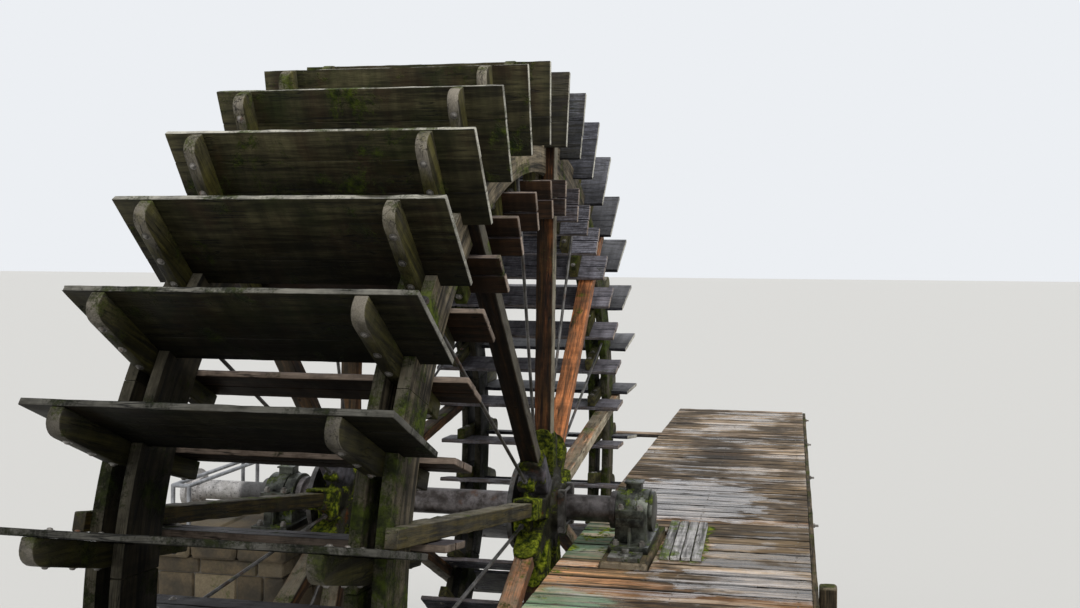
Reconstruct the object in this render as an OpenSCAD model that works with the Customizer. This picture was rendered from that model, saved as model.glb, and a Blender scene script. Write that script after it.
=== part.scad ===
// Undershot mill wheel on its shaft, with both bearings, the river deck and the mill-side pier.
// X runs along the axle towards the river, -Y faces the viewer, Z is up.
// The origin is on the channel floor, under the axle, at the middle of the pier's length.

/* [Wheel] */
// Radius to the tips of the outer paddles
wheel_r = 3600; // [3300:50:4000]
// Number of spokes in each rim
spoke_count = 9; // [8:1:10]
// Outer paddles from one spoke to the next
paddles_per_spoke = 4; // [3:1:4]
// Distance between the middles of the two rims
rim_spacing = 1481; // [1300:20:1700]
// Angle of the first paddle above the horizontal
first_angle = 10.7; // [0:0.1:30]
// Height of the axle above the channel floor
axle_h = 3750; // [3700:50:4200]

/* [Outer paddles] */
// Depth of an outer paddle from tip to root
paddle_depth = 646; // [560:10:700]
// Thickness of an outer paddle
paddle_t = 38; // [30:2:60]
// Forward lean of an outer paddle from the radial line
paddle_lean = 8; // [4:1:12]
// Overhang of the paddles past the river-side knees
overhang_river = 257; // [180:10:300]
// Overhang of the paddles past the mill-side knees
overhang_mill = 182; // [140:10:300]

/* [Inner paddles] */
// Depth of an inner paddle
inner_depth = 300; // [240:10:340]
// Thickness of an inner paddle
inner_t = 45; // [36:1:50]
// Free gap between an inner paddle and the rim
inner_gap = 59; // [30:1:90]

/* [Rims] */
// Radial depth of a rim
rim_depth = 300; // [260:10:340]
// Depth that the paddle roots are let into the rim
let_in = 90; // [60:5:110]
// Thickness of one ply of a rim
ply_t = 70; // [55:5:80]
// Gap at the butt joint between two felloes
felloe_gap = 4; // [2:1:8]

/* [Knees] */
// Thickness of a knee, which is the gap between two plies
knee_t = 80; // [60:5:100]
// Depth of the knee's outer arm
knee_depth = 135; // [110:5:160]
// Depth of the knee's inner arm
knee_inner_depth = 110; // [90:5:140]
// Radius of the knee's rounded nose
knee_nose_r = 95; // [60:5:105]
// Setback of the knee's nose from the paddle tip
knee_setback = 5; // [0:5:60]

/* [Spokes] */
// Width of a spoke along the axle
spoke_w = 145; // [120:5:170]
// Thickness of a spoke in the wheel's plane
spoke_t = 110; // [90:5:130]
// Length of a spoke past the rim
spoke_past = 46; // [20:2:60]
// Radius at which the spokes' feet stand in the hub
foot_r = 300; // [280:10:340]

/* [Hubs] */
// Radius to the lips of the hub's sockets
hub_r = 640; // [560:10:700]
// Wall thickness of the cast sockets
socket_wall = 24; // [18:1:30]
// Radius of the hub's boss
boss_r = 190; // [170:5:210]
// Length of the boss past the sockets on each side
boss_past = 70; // [50:5:120]
// Radius of the round core that the sockets spring from
core_r = 250; // [235:5:280]
// Length of the core past the sockets on each side
core_past = 10; // [5:1:30]
// Radius of the cast web between the sockets
web_r = 430; // [400:10:460]
// Thickness of the cast web
web_t = 36; // [28:2:44]
// Radius of the shaft flange on the mill side of each hub
flange_r = 350; // [300:10:380]
// Thickness of the shaft flange
flange_t = 40; // [30:2:50]
// Radial length of the cast block that anchors a tie rod
lug_len = 110; // [80:5:130]
// Width of that block along the axle
lug_w = 130; // [90:5:150]
// Width of that block across the rod
lug_t = 90; // [70:5:110]
// Diameter of the tie rods
tie_d = 26; // [20:1:32]
// Length of the bars that clamp the shaft beside each hub
clamp_len = 340; // [320:10:400]
// Depth of a clamp bar across the shaft
clamp_t = 60; // [40:5:80]
// Width of a clamp bar along the shaft
clamp_w = 58; // [40:2:60]

/* [Shaft] */
// Radius of the wheel shaft
shaft_r = 105; // [95:1:120]
// Radial running clearance in the bearings
run_clear = 0.08; // [0.05:0.01:0.1]
// Distance of the river bearing's middle from the river hub
river_span = 767; // [700:10:900]
// Distance of the mill bearing's middle from the mill hub
mill_span = 559; // [460:10:640]
// Radius of the drive shaft past the mill bearing
drive_r = 82; // [70:1:90]
// Length of the drive shaft past the mill bearing
drive_len = 760; // [600:10:900]
// Radius of the collars on the shaft beside the bearings
collar_r = 148; // [125:1:160]
// Length of a collar
collar_len = 46; // [30:2:60]
// Radius of the drive coupling
coupling_r = 175; // [160:5:200]
// Thickness of the drive coupling
coupling_t = 45; // [35:5:60]
// Number of bolt holes in the drive coupling
coupling_holes = 8; // [6:2:10]
// Radius of the coupling's bolt holes
coupling_hole_r = 11; // [9:0.5:13]
// Radius of the coupling's bolt circle
coupling_pcr = 135; // [130:1:142]

/* [Bearings] */
// Length of a bearing housing along the shaft
bearing_len = 260; // [220:10:300]
// Outer radius of a bearing housing
bearing_r = 175; // [160:5:190]
// Width of a bearing's foot across the shaft
foot_w = 620; // [560:10:700]
// Thickness of a bearing's foot
foot_t = 55; // [40:5:70]
// Height of the shaft's middle above a bearing's seat
seat_drop = 262; // [245:5:300]
// Thickness of the ribs that stiffen a bearing's foot
rib_t = 26; // [16:2:40]
// Thickness of the cover that closes the river bearing
cover_t = 34; // [20:2:50]
// Radius of that cover
cover_r = 160; // [150:2:174]
// Width of the timber bearer past the river bearing on each side
bearer_side = 60; // [40:5:90]
// Length of the timber bearer past the bearing's foot at each end
bearer_end = 210; // [190:5:260]
// Width of the anchor plates along the shaft
anchor_w = 250; // [160:10:280]
// Depth of the anchor plates across the shaft
anchor_l = 170; // [130:10:180]
// Thickness of the anchor plates
anchor_t = 30; // [16:2:40]

/* [Deck] */
// Drop of the deck's top below the axle
deck_drop = 306; // [290:2:360]
// Width of one deck plank
plank_w = 190; // [160:5:220]
// Gap between two deck planks
plank_gap = 8; // [4:1:14]
// Thickness of the deck planks
plank_t = 45; // [38:1:60]
// Length of the deck planks across the deck
deck_w = 1940; // [1700:20:2300]
// Gap between the paddles and the deck
deck_gap = 55; // [40:5:90]
// Number of bays of the deck
bays = 5; // [4:1:6]
// Length of one bay of the deck
bay_len = 2000; // [1800:50:2200]
// Width of a joist
joist_w = 90; // [70:5:110]
// Height of a joist
joist_h = 190; // [150:10:230]
// Height of a cap beam
cap_h = 220; // [180:10:260]
// Side of a square pile
pile_w = 200; // [170:5:240]
// Height of the lower end of the braces above the floor
brace_foot = 300; // [200:20:500]
// Drop of the upper end of the braces below the cap beams
brace_drop = 300; // [200:20:400]
// Height of a brace
brace_h = 140; // [110:5:180]
// Thickness of a brace
brace_t = 60; // [45:5:80]
// Number of the plank that runs on past the deck towards the mill
long_plank = 39; // [36:1:44]
// Length of that plank past the deck
long_plank_past = 620; // [400:10:700]
// Side of the fender post at the deck's river edge
fender_w = 130; // [110:5:160]
// Thickness of the edge beam
edge_t = 44; // [35:1:60]

/* [Cover panel] */
// Number of boards in the panel beside the bearing
panel_boards = 4; // [3:1:5]
// Width of one board of the panel
panel_board_w = 78; // [60:2:90]
// Gap between two boards of the panel
panel_gap = 6; // [3:1:12]
// Length of the panel across the planks
panel_l = 1040; // [900:20:1200]
// Thickness of the panel
panel_t = 32; // [24:2:45]
// Share of the panel's length that lies in front of the shaft
panel_front = 0.26; // [0.1:0.02:0.5]
// Skew of the panel against the deck
panel_skew = 2; // [0:0.5:10]

/* [Mill side] */
// Length of the stone pier along the shaft
pier_len = 1700; // [1500:20:1900]
// Width of the stone pier across the shaft
pier_w = 1260; // [1160:20:1400]
// Distance from the pier's coping on the wheel side to the mill bearing's middle
pier_front = 330; // [280:10:340]
// Thickness of the pier's coping
coping_t = 140; // [100:10:200]
// Projection of the coping and of the plinth
coping_past = 30; // [20:5:50]
// Height of the pier's plinth
plinth_h = 420; // [300:20:600]
// Height of the shaft guard's rails above the pier
guard_h = 400; // [380:5:460]
// Distance between the two rails of the shaft guard
guard_w = 145; // [120:5:180]
// Length of the shaft guard across the shaft
guard_l = 1000; // [900:20:1100]
// Outer diameter of the shaft guard's tubes
guard_d = 34; // [27:1:42]

/* [Hidden] */
$fn = 96;

// Clearance between timbers that meet, between a bore and what sits in it, and the run-out of a cut
fit = 2;
seat = 0.05;
over = 1;

// Places along the axle, from the pier to the river
spoke_off = knee_t / 2 + spoke_w / 2;
mill_bearing_x = pier_len / 2 - pier_front;
mill_hub_x = mill_bearing_x + mill_span;
mill_x = mill_hub_x + spoke_off;
river_x = mill_x + rim_spacing;
river_hub_x = river_x + spoke_off;
river_bearing_x = river_hub_x + river_span;
paddle_x0 = mill_x - knee_t / 2 - overhang_mill;
paddle_x1 = river_x + knee_t / 2 + overhang_river;
shaft_past = 20;
shaft_short = 12;
shaft_x0 = mill_bearing_x - bearing_len / 2 - shaft_past;
shaft_x1 = river_bearing_x + bearing_len / 2 - shaft_short;
coupling_x = shaft_x0 - drive_len;

// Radii
paddle_count = spoke_count * paddles_per_spoke;
pitch = 360 / paddle_count;
root_r = wheel_r - paddle_depth * cos(paddle_lean);
rim_out = root_r + let_in;
rim_in = rim_out - rim_depth;
rim_fn = 240;
spoke_end = rim_out + spoke_past;
inner_out = rim_in - inner_gap;
inner_in = inner_out - inner_depth;

// Tangential place of an outer paddle's back at the spoke's end, and the spoke's lead over its paddle
back_at_end = paddle_t * cos(paddle_lean)
    + (spoke_end - wheel_r + paddle_t * sin(paddle_lean)) * tan(paddle_lean);
spoke_lead = atan((spoke_t / 2 + fit + back_at_end) / spoke_end);
inner_back = -spoke_t / 2 - fit;
inner_front = inner_back - inner_t;

// Hub
socket_len = spoke_w + 2 * socket_wall;
socket_width = spoke_t + 2 * socket_wall;
boss_len = socket_len + 2 * boss_past;
rod_angle = 2.5 * pitch;
lug_in = web_r - lug_len / 2;
lug_out = web_r + lug_len / 2;
nut_w = 1.75 * tie_d;
nut_h = 0.9 * tie_d;
tie_hole = tie_d + 4;
clamp_bolt_in = 32;
clamp_bolt_z = clamp_len / 2 - clamp_bolt_in;
rim_washer_t = 8;
rim_washer_d = 1.5 * nut_w;
rod_past = rim_washer_t + 1.3 * nut_h;

// Shaft's collars and the drive shaft's steps
collar_gap = 8;
neck_t = 24;
neck_len = 60;
step_t = 40;
step_len = 50;

// Knees: distance of the crook's corners from the paddle's root
crook_out = 120;
crook_in = 12;

// Bearings
bearing_bore = shaft_r + run_clear;
bolt_off = bearing_r + 38;
bolt_d = 30;
anchor_off = foot_w / 2 - 45;
seat_z = axle_h - seat_drop;
foot_past = 30;
pad_drop = 70;
pad_rise = 60;
pad_l = 45;
pad_in = 20;
cap_bolt_in = 55;
foot_bolt_in = 25;
bolt_nut_d = 1.8 * bolt_d;
nut_rise = 26;
bolt_past = 14;
band_t = 18;
band_w = 90;

// Grease box on a bearing's cap, and its lid
box_w = 124;
box_l = 100;
box_h = 52;
box_sunk = 12;
lid_t = 14;
lid_past = 12;

// Anchor plates
anchor_in = 12;
anchor_washer_d = 96;
anchor_washer_t = 12;
anchor_nut_d = 62;
anchor_nut_h = 34;

// Shaft guard
guard_clear = 12;
guard_front = 0.45;
guard_foot_d = 2.4 * guard_d;
guard_foot_t = 8;

// Deck heights and places
bearer_w = bearing_len + 2 * bearer_side;
bearer_l = foot_w + 2 * bearer_end;
bearer_clear = 5;
cap_clear = 20;
deck_z = axle_h - deck_drop;
deck_x0 = paddle_x1 + deck_gap;
deck_x1 = deck_x0 + deck_w;
deck_y0 = -bearer_l / 2 - cap_clear - pile_w - bay_len;
deck_len = bays * bay_len + pile_w;
plank_count = floor((deck_len + plank_gap) / (plank_w + plank_gap));
plank_pitch = (deck_len + plank_gap) / plank_count;
joist_z = deck_z - plank_t - joist_h;
cap_z = joist_z - cap_h;
pile_inset = 150;
joist_inset = 60;
cap_inset = 20;
edge_gap = 1;
edge_drop = 10;
edge_x = deck_x1 + edge_gap;
fender_gap = 4;
wheel_pile_x = deck_x0 + pile_inset + pile_w / 2;
river_pile_x = deck_x1 - pile_inset - pile_w / 2;
bearing_pile_w = pile_w + 60;

// A child drawn in the wheel's plane, u outwards and v upwards on the viewer's side,
// extruded from x0 to x1 along the axle
module wheel_plane(x0, x1) {
    translate([0, 0, axle_h])
        rotate([90, 0, -90])
            translate([0, 0, -x1])
                linear_extrude(x1 - x0)
                    children();
}

// A solid child in the frame of one angle: x outwards, y tangential, z against the river
module at_angle(angle, x) {
    translate([x, 0, axle_h])
        rotate([90, 0, -90])
            rotate([0, 0, angle])
                children();
}

// A cylinder along the axle from x0 to x1
module axle_rod(r, x0, x1) {
    translate([x0, 0, axle_h])
        rotate([0, 90, 0])
            cylinder(r = r, h = x1 - x0);
}

module block(x0, x1, y0, y1, z0, z1) {
    translate([x0, y0, z0])
        cube([x1 - x0, y1 - y0, z1 - z0]);
}

// Shaft and drive

module wheel_shaft() {
    color("dimgray")
        union() {
            axle_rod(shaft_r, shaft_x0, shaft_x1);
            axle_rod(collar_r, river_bearing_x - bearing_len / 2 - collar_gap - collar_len,
                river_bearing_x - bearing_len / 2 - collar_gap);
            axle_rod(collar_r, mill_bearing_x + bearing_len / 2 + collar_gap,
                mill_bearing_x + bearing_len / 2 + collar_gap + collar_len);
        }
}

module drive_shaft() {
    color("slategray")
        difference() {
            union() {
                axle_rod(drive_r, coupling_x, shaft_x0);
                axle_rod(coupling_r, coupling_x, coupling_x + coupling_t);
                axle_rod(drive_r + neck_t, coupling_x + coupling_t, coupling_x + coupling_t + neck_len);
                axle_rod(drive_r + step_t, shaft_x0 - step_len, shaft_x0);
            }
            for (i = [0:coupling_holes - 1])
                translate([coupling_x - over, 0, axle_h])
                    rotate([i * 360 / coupling_holes, 0, 0])
                        translate([0, coupling_pcr, 0])
                            rotate([0, 90, 0])
                                cylinder(r = coupling_hole_r, h = coupling_t + 2 * over);
        }
}

// Hubs: a boss and a web with one cast socket for each spoke

module socket_outline() {
    square_len = hub_r - socket_len / 2;
    union() {
        translate([0, -socket_len / 2])
            square([square_len, socket_len]);
        translate([square_len, 0])
            circle(r = socket_len / 2);
    }
}

module socket_body() {
    translate([0, socket_width / 2, 0])
        rotate([90, 0, 0])
            linear_extrude(socket_width)
                socket_outline();
}

module hub(x, side) {
    web_x = x - side * (spoke_w - ply_t) / 2;
    color("olivedrab")
        difference() {
            union() {
                axle_rod(boss_r, x - boss_len / 2, x + boss_len / 2);
                axle_rod(core_r, x - socket_len / 2 - core_past, x + socket_len / 2 + core_past);
                axle_rod(web_r, web_x - web_t / 2, web_x + web_t / 2);
                for (i = [0:spoke_count - 1]) {
                    spoke_a = first_angle + spoke_lead + i * 360 / spoke_count;
                    at_angle(spoke_a, x)
                        socket_body();
                    at_angle(first_angle + rod_angle + i * 360 / spoke_count, web_x)
                        translate([lug_in, -lug_t / 2, -lug_w / 2])
                            cube([lug_len, lug_t, lug_w]);
                }
            }
            for (i = [0:spoke_count - 1])
                at_angle(first_angle + spoke_lead + i * 360 / spoke_count, x)
                    translate([foot_r, -spoke_t / 2, -spoke_w / 2])
                        cube([hub_r, spoke_t, spoke_w]);
            axle_rod(shaft_r + seat, x - boss_len, x + boss_len);
        }
}

module river_hub() {
    hub(river_hub_x, 1);
}

module mill_hub() {
    hub(mill_hub_x, -1);
}

module shaft_flange(x0) {
    color("gray")
        difference() {
            axle_rod(flange_r, x0, x0 + flange_t);
            axle_rod(shaft_r + seat, x0 - over, x0 + flange_t + over);
        }
}

module river_shaft_flange() {
    shaft_flange(river_hub_x - boss_len / 2 - flange_t);
}

module mill_shaft_flange() {
    shaft_flange(mill_hub_x - boss_len / 2 - flange_t);
}

// Two bars beside the shaft, drawn together by bolts against the boss's river end
module hub_clamp(x0) {
    union() {
        for (side = [-1, 1])
            translate([x0, side > 0 ? shaft_r + fit : -shaft_r - fit - clamp_t, axle_h - clamp_len / 2])
                cube([clamp_w, clamp_t, clamp_len]);
        for (side = [-1, 1])
            translate([x0 + clamp_w / 2, -shaft_r - fit - clamp_t - nut_h, axle_h + side * clamp_bolt_z])
                rotate([-90, 0, 0]) {
                    cylinder(d = tie_d, h = 2 * (shaft_r + fit + clamp_t + nut_h));
                    cylinder(d = nut_w, h = nut_h, $fn = 6);
                    translate([0, 0, 2 * (shaft_r + fit + clamp_t) + nut_h])
                        cylinder(d = nut_w, h = nut_h, $fn = 6);
                }
    }
}

module hub_clamps() {
    color("slategray")
        for (x = [river_hub_x, mill_hub_x])
            hub_clamp(x + boss_len / 2);
}

// Spokes, halved over the outer ply of the rim

module spoke_set(x, side) {
    color("saddlebrown")
        for (i = [0:spoke_count - 1])
            at_angle(first_angle + spoke_lead + i * 360 / spoke_count, x)
                difference() {
                    translate([foot_r, -spoke_t / 2, -spoke_w / 2])
                        cube([spoke_end - foot_r, spoke_t, spoke_w]);
                    translate([rim_in - fit, -spoke_t, side > 0 ? spoke_w / 2 - ply_t : -spoke_w / 2 - over])
                        cube([spoke_end, 2 * spoke_t, ply_t + over]);
                }
}

module river_spokes() {
    spoke_set(river_hub_x, 1);
}

module mill_spokes() {
    spoke_set(mill_hub_x, -1);
}

// Paddles

module outer_paddle_outline(spare) {
    translate([wheel_r, 0])
        rotate(paddle_lean)
            translate([-paddle_depth - spare, -spare])
                square([paddle_depth + 2 * spare, paddle_t + 2 * spare]);
}

module outer_paddles(part) {
    color("darkolivegreen")
        wheel_plane(paddle_x0, paddle_x1)
            for (i = [part:paddles_per_spoke:paddle_count - 1])
                rotate(first_angle + i * pitch)
                    outer_paddle_outline(0);
}

module inner_paddles(part) {
    color("sienna")
        wheel_plane(paddle_x0, paddle_x1)
            for (i = [part:paddles_per_spoke:paddle_count - 1])
                rotate(first_angle + spoke_lead + i * pitch)
                    translate([inner_in, inner_front])
                        square([inner_depth, inner_t]);
}

module outer_paddles_a() {
    outer_paddles(0);
}

module outer_paddles_b() {
    outer_paddles(1);
}

module outer_paddles_c() {
    outer_paddles(2);
}

module outer_paddles_d() {
    outer_paddles(3);
}

module inner_paddles_a() {
    inner_paddles(0);
}

module inner_paddles_b() {
    inner_paddles(1);
}

module inner_paddles_c() {
    inner_paddles(2);
}

module inner_paddles_d() {
    inner_paddles(3);
}

// Rims: two plies of felloes, notched for the paddle roots

module felloe_ring(x0, stagger) {
    wheel_plane(x0, x0 + ply_t)
        difference() {
            circle(r = rim_out, $fn = rim_fn);
            circle(r = rim_in, $fn = rim_fn);
            for (i = [0:paddle_count - 1])
                rotate(first_angle + i * pitch)
                    outer_paddle_outline(fit);
            for (i = [0:spoke_count - 1])
                rotate(first_angle + (stagger + 0.5) * pitch + i * 360 / spoke_count)
                    translate([rim_in / 2, -felloe_gap / 2])
                        square([rim_out, felloe_gap]);
        }
}

module inner_ply(x0) {
    color("darkseagreen")
        felloe_ring(x0, 3);
}

module outer_ply(x0) {
    color("darkseagreen")
        difference() {
            felloe_ring(x0, 1);
            for (i = [0:spoke_count - 1])
                at_angle(first_angle + rod_angle + i * 360 / spoke_count, x0 + ply_t / 2)
                    translate([rim_in - ply_t, 0, 0])
                        rotate([0, 90, 0])
                            cylinder(d = tie_hole, h = rim_depth + 2 * ply_t);
        }
}

module river_rim_outer_ply() {
    outer_ply(river_x + knee_t / 2);
}

module river_rim_inner_ply() {
    inner_ply(river_x - knee_t / 2 - ply_t);
}

module mill_rim_outer_ply() {
    outer_ply(mill_x - knee_t / 2 - ply_t);
}

module mill_rim_inner_ply() {
    inner_ply(mill_x + knee_t / 2);
}

// Knees: crooked arms between the plies, in front of both paddles of one angle

// A point of the outer paddle's frame, x outwards from its tip and y from its front face
function on_outer(x, y) = [
    wheel_r + x * cos(paddle_lean) - y * sin(paddle_lean),
    x * sin(paddle_lean) + y * cos(paddle_lean)
];

// A point of the inner paddle's frame, x from the axle and y from the middle of the spoke
function on_inner(x, y) = [
    x * cos(spoke_lead) - y * sin(spoke_lead),
    x * sin(spoke_lead) + y * cos(spoke_lead)
];

knee_outline = concat(
    [on_outer(-knee_setback, -seat), on_outer(-paddle_depth - fit, -seat)],
    [on_inner(root_r - crook_in, inner_front - seat), on_inner(inner_in, inner_front - seat)],
    [on_inner(inner_in, inner_front - knee_inner_depth)],
    [on_inner(rim_in, inner_front - knee_inner_depth), on_outer(-paddle_depth + crook_out, -knee_depth)],
    [for (a = [-90:15:0]) on_outer(
        -knee_setback - knee_nose_r + knee_nose_r * cos(a),
        -knee_depth + knee_nose_r + knee_nose_r * sin(a)
    )]
);

module knees(x) {
    color("dimgray")
        wheel_plane(x - knee_t / 2, x + knee_t / 2)
            for (i = [0:paddle_count - 1])
                rotate(first_angle + i * pitch)
                    polygon(knee_outline);
}

module river_knees() {
    knees(river_x);
}

module mill_knees() {
    knees(mill_x);
}

// Tie rods from the hub's blocks through the rim's outer ply, with a nut at each end

module tie_rods(x, side) {
    rod_x = x - side * (spoke_w - ply_t) / 2;
    color("darkgray")
        for (i = [0:spoke_count - 1])
            at_angle(first_angle + rod_angle + i * 360 / spoke_count, rod_x)
                rotate([0, 90, 0])
                    union() {
                        translate([0, 0, lug_out])
                            cylinder(d = tie_d, h = rim_out + rod_past - lug_out);
                        translate([0, 0, lug_out])
                            cylinder(d = nut_w, h = nut_h, $fn = 6);
                        translate([0, 0, rim_out])
                            cylinder(d = rim_washer_d, h = rim_washer_t);
                        translate([0, 0, rim_out + rim_washer_t])
                            cylinder(d = nut_w, h = nut_h, $fn = 6);
                    }
}

module river_tie_rods() {
    tie_rods(river_hub_x, 1);
}

module mill_tie_rods() {
    tie_rods(mill_hub_x, -1);
}

// Bearings

// A three-cornered rib from the foot up to the housing, on one side of the shaft
module foot_rib(x, side) {
    translate([x + rib_t / 2, 0, seat_z + foot_t])
        rotate([0, -90, 0])
            linear_extrude(rib_t)
                polygon([[0, side * bearing_r], [0, side * anchor_off],
                    [seat_drop - foot_t - pad_drop, side * (bolt_off + pad_l)],
                    [seat_drop - foot_t - pad_drop, side * bearing_r]]);
}

module bearing_base(x) {
    difference() {
        union() {
            block(x - bearing_len / 2 - foot_past, x + bearing_len / 2 + foot_past,
                -foot_w / 2, foot_w / 2, seat_z, seat_z + foot_t);
            block(x - bearing_len / 2, x + bearing_len / 2, -bearing_r, bearing_r,
                seat_z + foot_t, axle_h);
            block(x - bearing_len / 2 + pad_in, x + bearing_len / 2 - pad_in,
                -bolt_off - pad_l, bolt_off + pad_l, axle_h - pad_drop, axle_h);
            for (side = [-1, 1])
                foot_rib(x, side);
        }
        axle_rod(bearing_bore, x - bearing_len, x + bearing_len);
    }
}

module bearing_cap(x) {
    box_z = axle_h + bearing_r + box_h;
    color("darkslategray")
        difference() {
            union() {
                intersection() {
                    axle_rod(bearing_r, x - bearing_len / 2, x + bearing_len / 2);
                    block(x - bearing_len, x + bearing_len, -bearing_r, bearing_r,
                        axle_h, axle_h + bearing_r);
                }
                intersection() {
                    axle_rod(bearing_r + band_t, x - band_w / 2, x + band_w / 2);
                    block(x - bearing_len, x + bearing_len, -bearing_r - band_t, bearing_r + band_t,
                        axle_h, axle_h + bearing_r + band_t);
                }
                block(x - bearing_len / 2 + pad_in, x + bearing_len / 2 - pad_in,
                    -bolt_off - pad_l, bolt_off + pad_l, axle_h, axle_h + pad_rise);
                block(x - box_w / 2, x + box_w / 2, -box_l / 2, box_l / 2,
                    axle_h + bearing_r - box_sunk, box_z);
                block(x - box_w / 2 - lid_past, x + box_w / 2 + lid_past,
                    -box_l / 2 - lid_past, box_l / 2 + lid_past, box_z, box_z + lid_t);
            }
            axle_rod(bearing_bore, x - bearing_len, x + bearing_len);
        }
}

// The nut and the bolt's end over it
module bolt_end() {
    cylinder(d = bolt_nut_d, h = nut_rise, $fn = 6);
    translate([0, 0, nut_rise])
        cylinder(d = bolt_d, h = bolt_past);
}

module bearing_bolts(x) {
    color("gray")
        for (sx = [-1, 1], sy = [-1, 1]) {
            translate([x + sx * (bearing_len / 2 - cap_bolt_in), sy * bolt_off, axle_h + pad_rise])
                bolt_end();
            translate([x + sx * (bearing_len / 2 - foot_bolt_in), sy * anchor_off, seat_z + foot_t])
                bolt_end();
        }
}

// The river bearing's base carries the cover over the shaft's end
module river_bearing_base() {
    color("darkslategray")
        union() {
            bearing_base(river_bearing_x);
            axle_rod(cover_r, river_bearing_x + bearing_len / 2, river_bearing_x + bearing_len / 2 + cover_t);
        }
}

module river_bearing_cap() {
    bearing_cap(river_bearing_x);
}

module river_bearing_bolts() {
    bearing_bolts(river_bearing_x);
}

module mill_bearing_base() {
    color("darkslategray")
        bearing_base(mill_bearing_x);
}

module mill_bearing_cap() {
    bearing_cap(mill_bearing_x);
}

module mill_bearing_bolts() {
    bearing_bolts(mill_bearing_x);
}

module river_bearer() {
    color("saddlebrown")
        block(river_bearing_x - bearer_w / 2, river_bearing_x + bearer_w / 2,
            -bearer_l / 2, bearer_l / 2, joist_z, seat_z);
}

module bearing_piles() {
    color("saddlebrown")
        for (sy = [-1, 1])
            block(river_bearing_x - bearing_pile_w / 2, river_bearing_x + bearing_pile_w / 2,
                sy * (bearer_l / 2 - bearing_pile_w / 2) - bearing_pile_w / 2,
                sy * (bearer_l / 2 - bearing_pile_w / 2) + bearing_pile_w / 2, 0, joist_z);
}

module anchor_plates() {
    color("darkslategray")
        for (side = [-1, 1])
            translate([river_bearing_x, side * (bearer_l / 2 - anchor_l / 2 - anchor_in), seat_z]) {
                translate([-anchor_w / 2, -anchor_l / 2, 0])
                    cube([anchor_w, anchor_l, anchor_t]);
                translate([0, 0, anchor_t])
                    cylinder(d = anchor_washer_d, h = anchor_washer_t);
                translate([0, 0, anchor_t + anchor_washer_t])
                    cylinder(d = anchor_nut_d, h = anchor_nut_h, $fn = 6);
            }
}

// Mill side

// Stone pier: plinth, shaft and a coping with chamfered edges
module mill_pier() {
    x1 = pier_len / 2;
    y1 = pier_w / 2;
    chamfer = coping_past;
    color("tan")
        union() {
            block(-x1 + coping_past, x1 - coping_past, -y1 + coping_past, y1 - coping_past,
                0, seat_z - coping_t);
            block(-x1, x1 - coping_past, -y1, y1, 0, plinth_h);
            intersection() {
                translate([0, y1, seat_z - coping_t])
                    rotate([90, 0, 0])
                        linear_extrude(pier_w)
                            polygon([[-x1, 0], [x1, 0], [x1, coping_t - chamfer], [x1 - chamfer, coping_t],
                                [-x1 + chamfer, coping_t], [-x1, coping_t - chamfer]]);
                translate([-x1, 0, seat_z - coping_t])
                    rotate([90, 0, 90])
                        linear_extrude(pier_len)
                            polygon([[-y1, 0], [y1, 0], [y1, coping_t - chamfer], [y1 - chamfer, coping_t],
                                [-y1 + chamfer, coping_t], [-y1, coping_t - chamfer]]);
            }
        }
}

// Tube frame that straddles the drive shaft: four posts, two rails over the shaft, two end bars
module shaft_guard() {
    x0 = coupling_x + coupling_t + neck_len + guard_clear + guard_d / 2;
    x1 = x0 + guard_w;
    y0 = -guard_front * guard_l;
    y1 = y0 + guard_l;
    color("silver")
        union() {
            for (x = [x0, x1], y = [y0, y1])
                translate([x, y, seat_z]) {
                    cylinder(d = guard_d, h = guard_h);
                    cylinder(d = guard_foot_d, h = guard_foot_t);
                }
            for (x = [x0, x1]) {
                translate([x, y0, seat_z + guard_h])
                    rotate([-90, 0, 0])
                        cylinder(d = guard_d, h = guard_l);
                for (y = [y0, y1])
                    translate([x, y, seat_z + guard_h])
                        sphere(d = guard_d);
            }
            for (y = [y0, y1])
                translate([x0, y, seat_z + guard_h])
                    rotate([0, 90, 0])
                        cylinder(d = guard_d, h = guard_w);
        }
}

// Deck

module deck_planks() {
    color("rosybrown")
        difference() {
            for (i = [0:plank_count - 1])
                block(i == long_plank ? deck_x0 - long_plank_past : deck_x0, deck_x1,
                    deck_y0 + i * plank_pitch, deck_y0 + (i + 1) * plank_pitch - plank_gap,
                    deck_z - plank_t, deck_z);
            block(river_bearing_x - bearer_w / 2 - bearer_clear,
                river_bearing_x + bearer_w / 2 + bearer_clear,
                -bearer_l / 2 - bearer_clear, bearer_l / 2 + bearer_clear,
                deck_z - 2 * plank_t, deck_z + over);
        }
}

module cover_panel() {
    color("gray")
        translate([river_bearing_x + bearer_w / 2 + 3 * bearer_clear + panel_l * sin(panel_skew),
            -panel_front * panel_l, deck_z])
            rotate([0, 0, panel_skew])
                for (i = [0:panel_boards - 1])
                    translate([i * (panel_board_w + panel_gap), 0, 0])
                        cube([panel_board_w, panel_l, panel_t]);
}

module deck_joists() {
    color("peru")
        for (x = [deck_x0 + joist_inset, (deck_x0 + deck_x1 - joist_w) / 2, deck_x1 - joist_inset - joist_w])
            block(x, x + joist_w, deck_y0, deck_y0 + deck_len, joist_z, deck_z - plank_t);
}

module edge_beam() {
    color("peru")
        block(edge_x, edge_x + edge_t, deck_y0, deck_y0 + deck_len, joist_z, deck_z - edge_drop);
}

module cap_beams() {
    color("peru")
        for (i = [0:bays])
            block(deck_x0 + cap_inset, deck_x1 - cap_inset,
                deck_y0 + i * bay_len, deck_y0 + i * bay_len + pile_w, cap_z, joist_z);
}

module pile_row(x) {
    color("saddlebrown")
        for (i = [0:bays])
            block(x - pile_w / 2, x + pile_w / 2, deck_y0 + i * bay_len, deck_y0 + i * bay_len + pile_w,
                0, cap_z);
}

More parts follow.
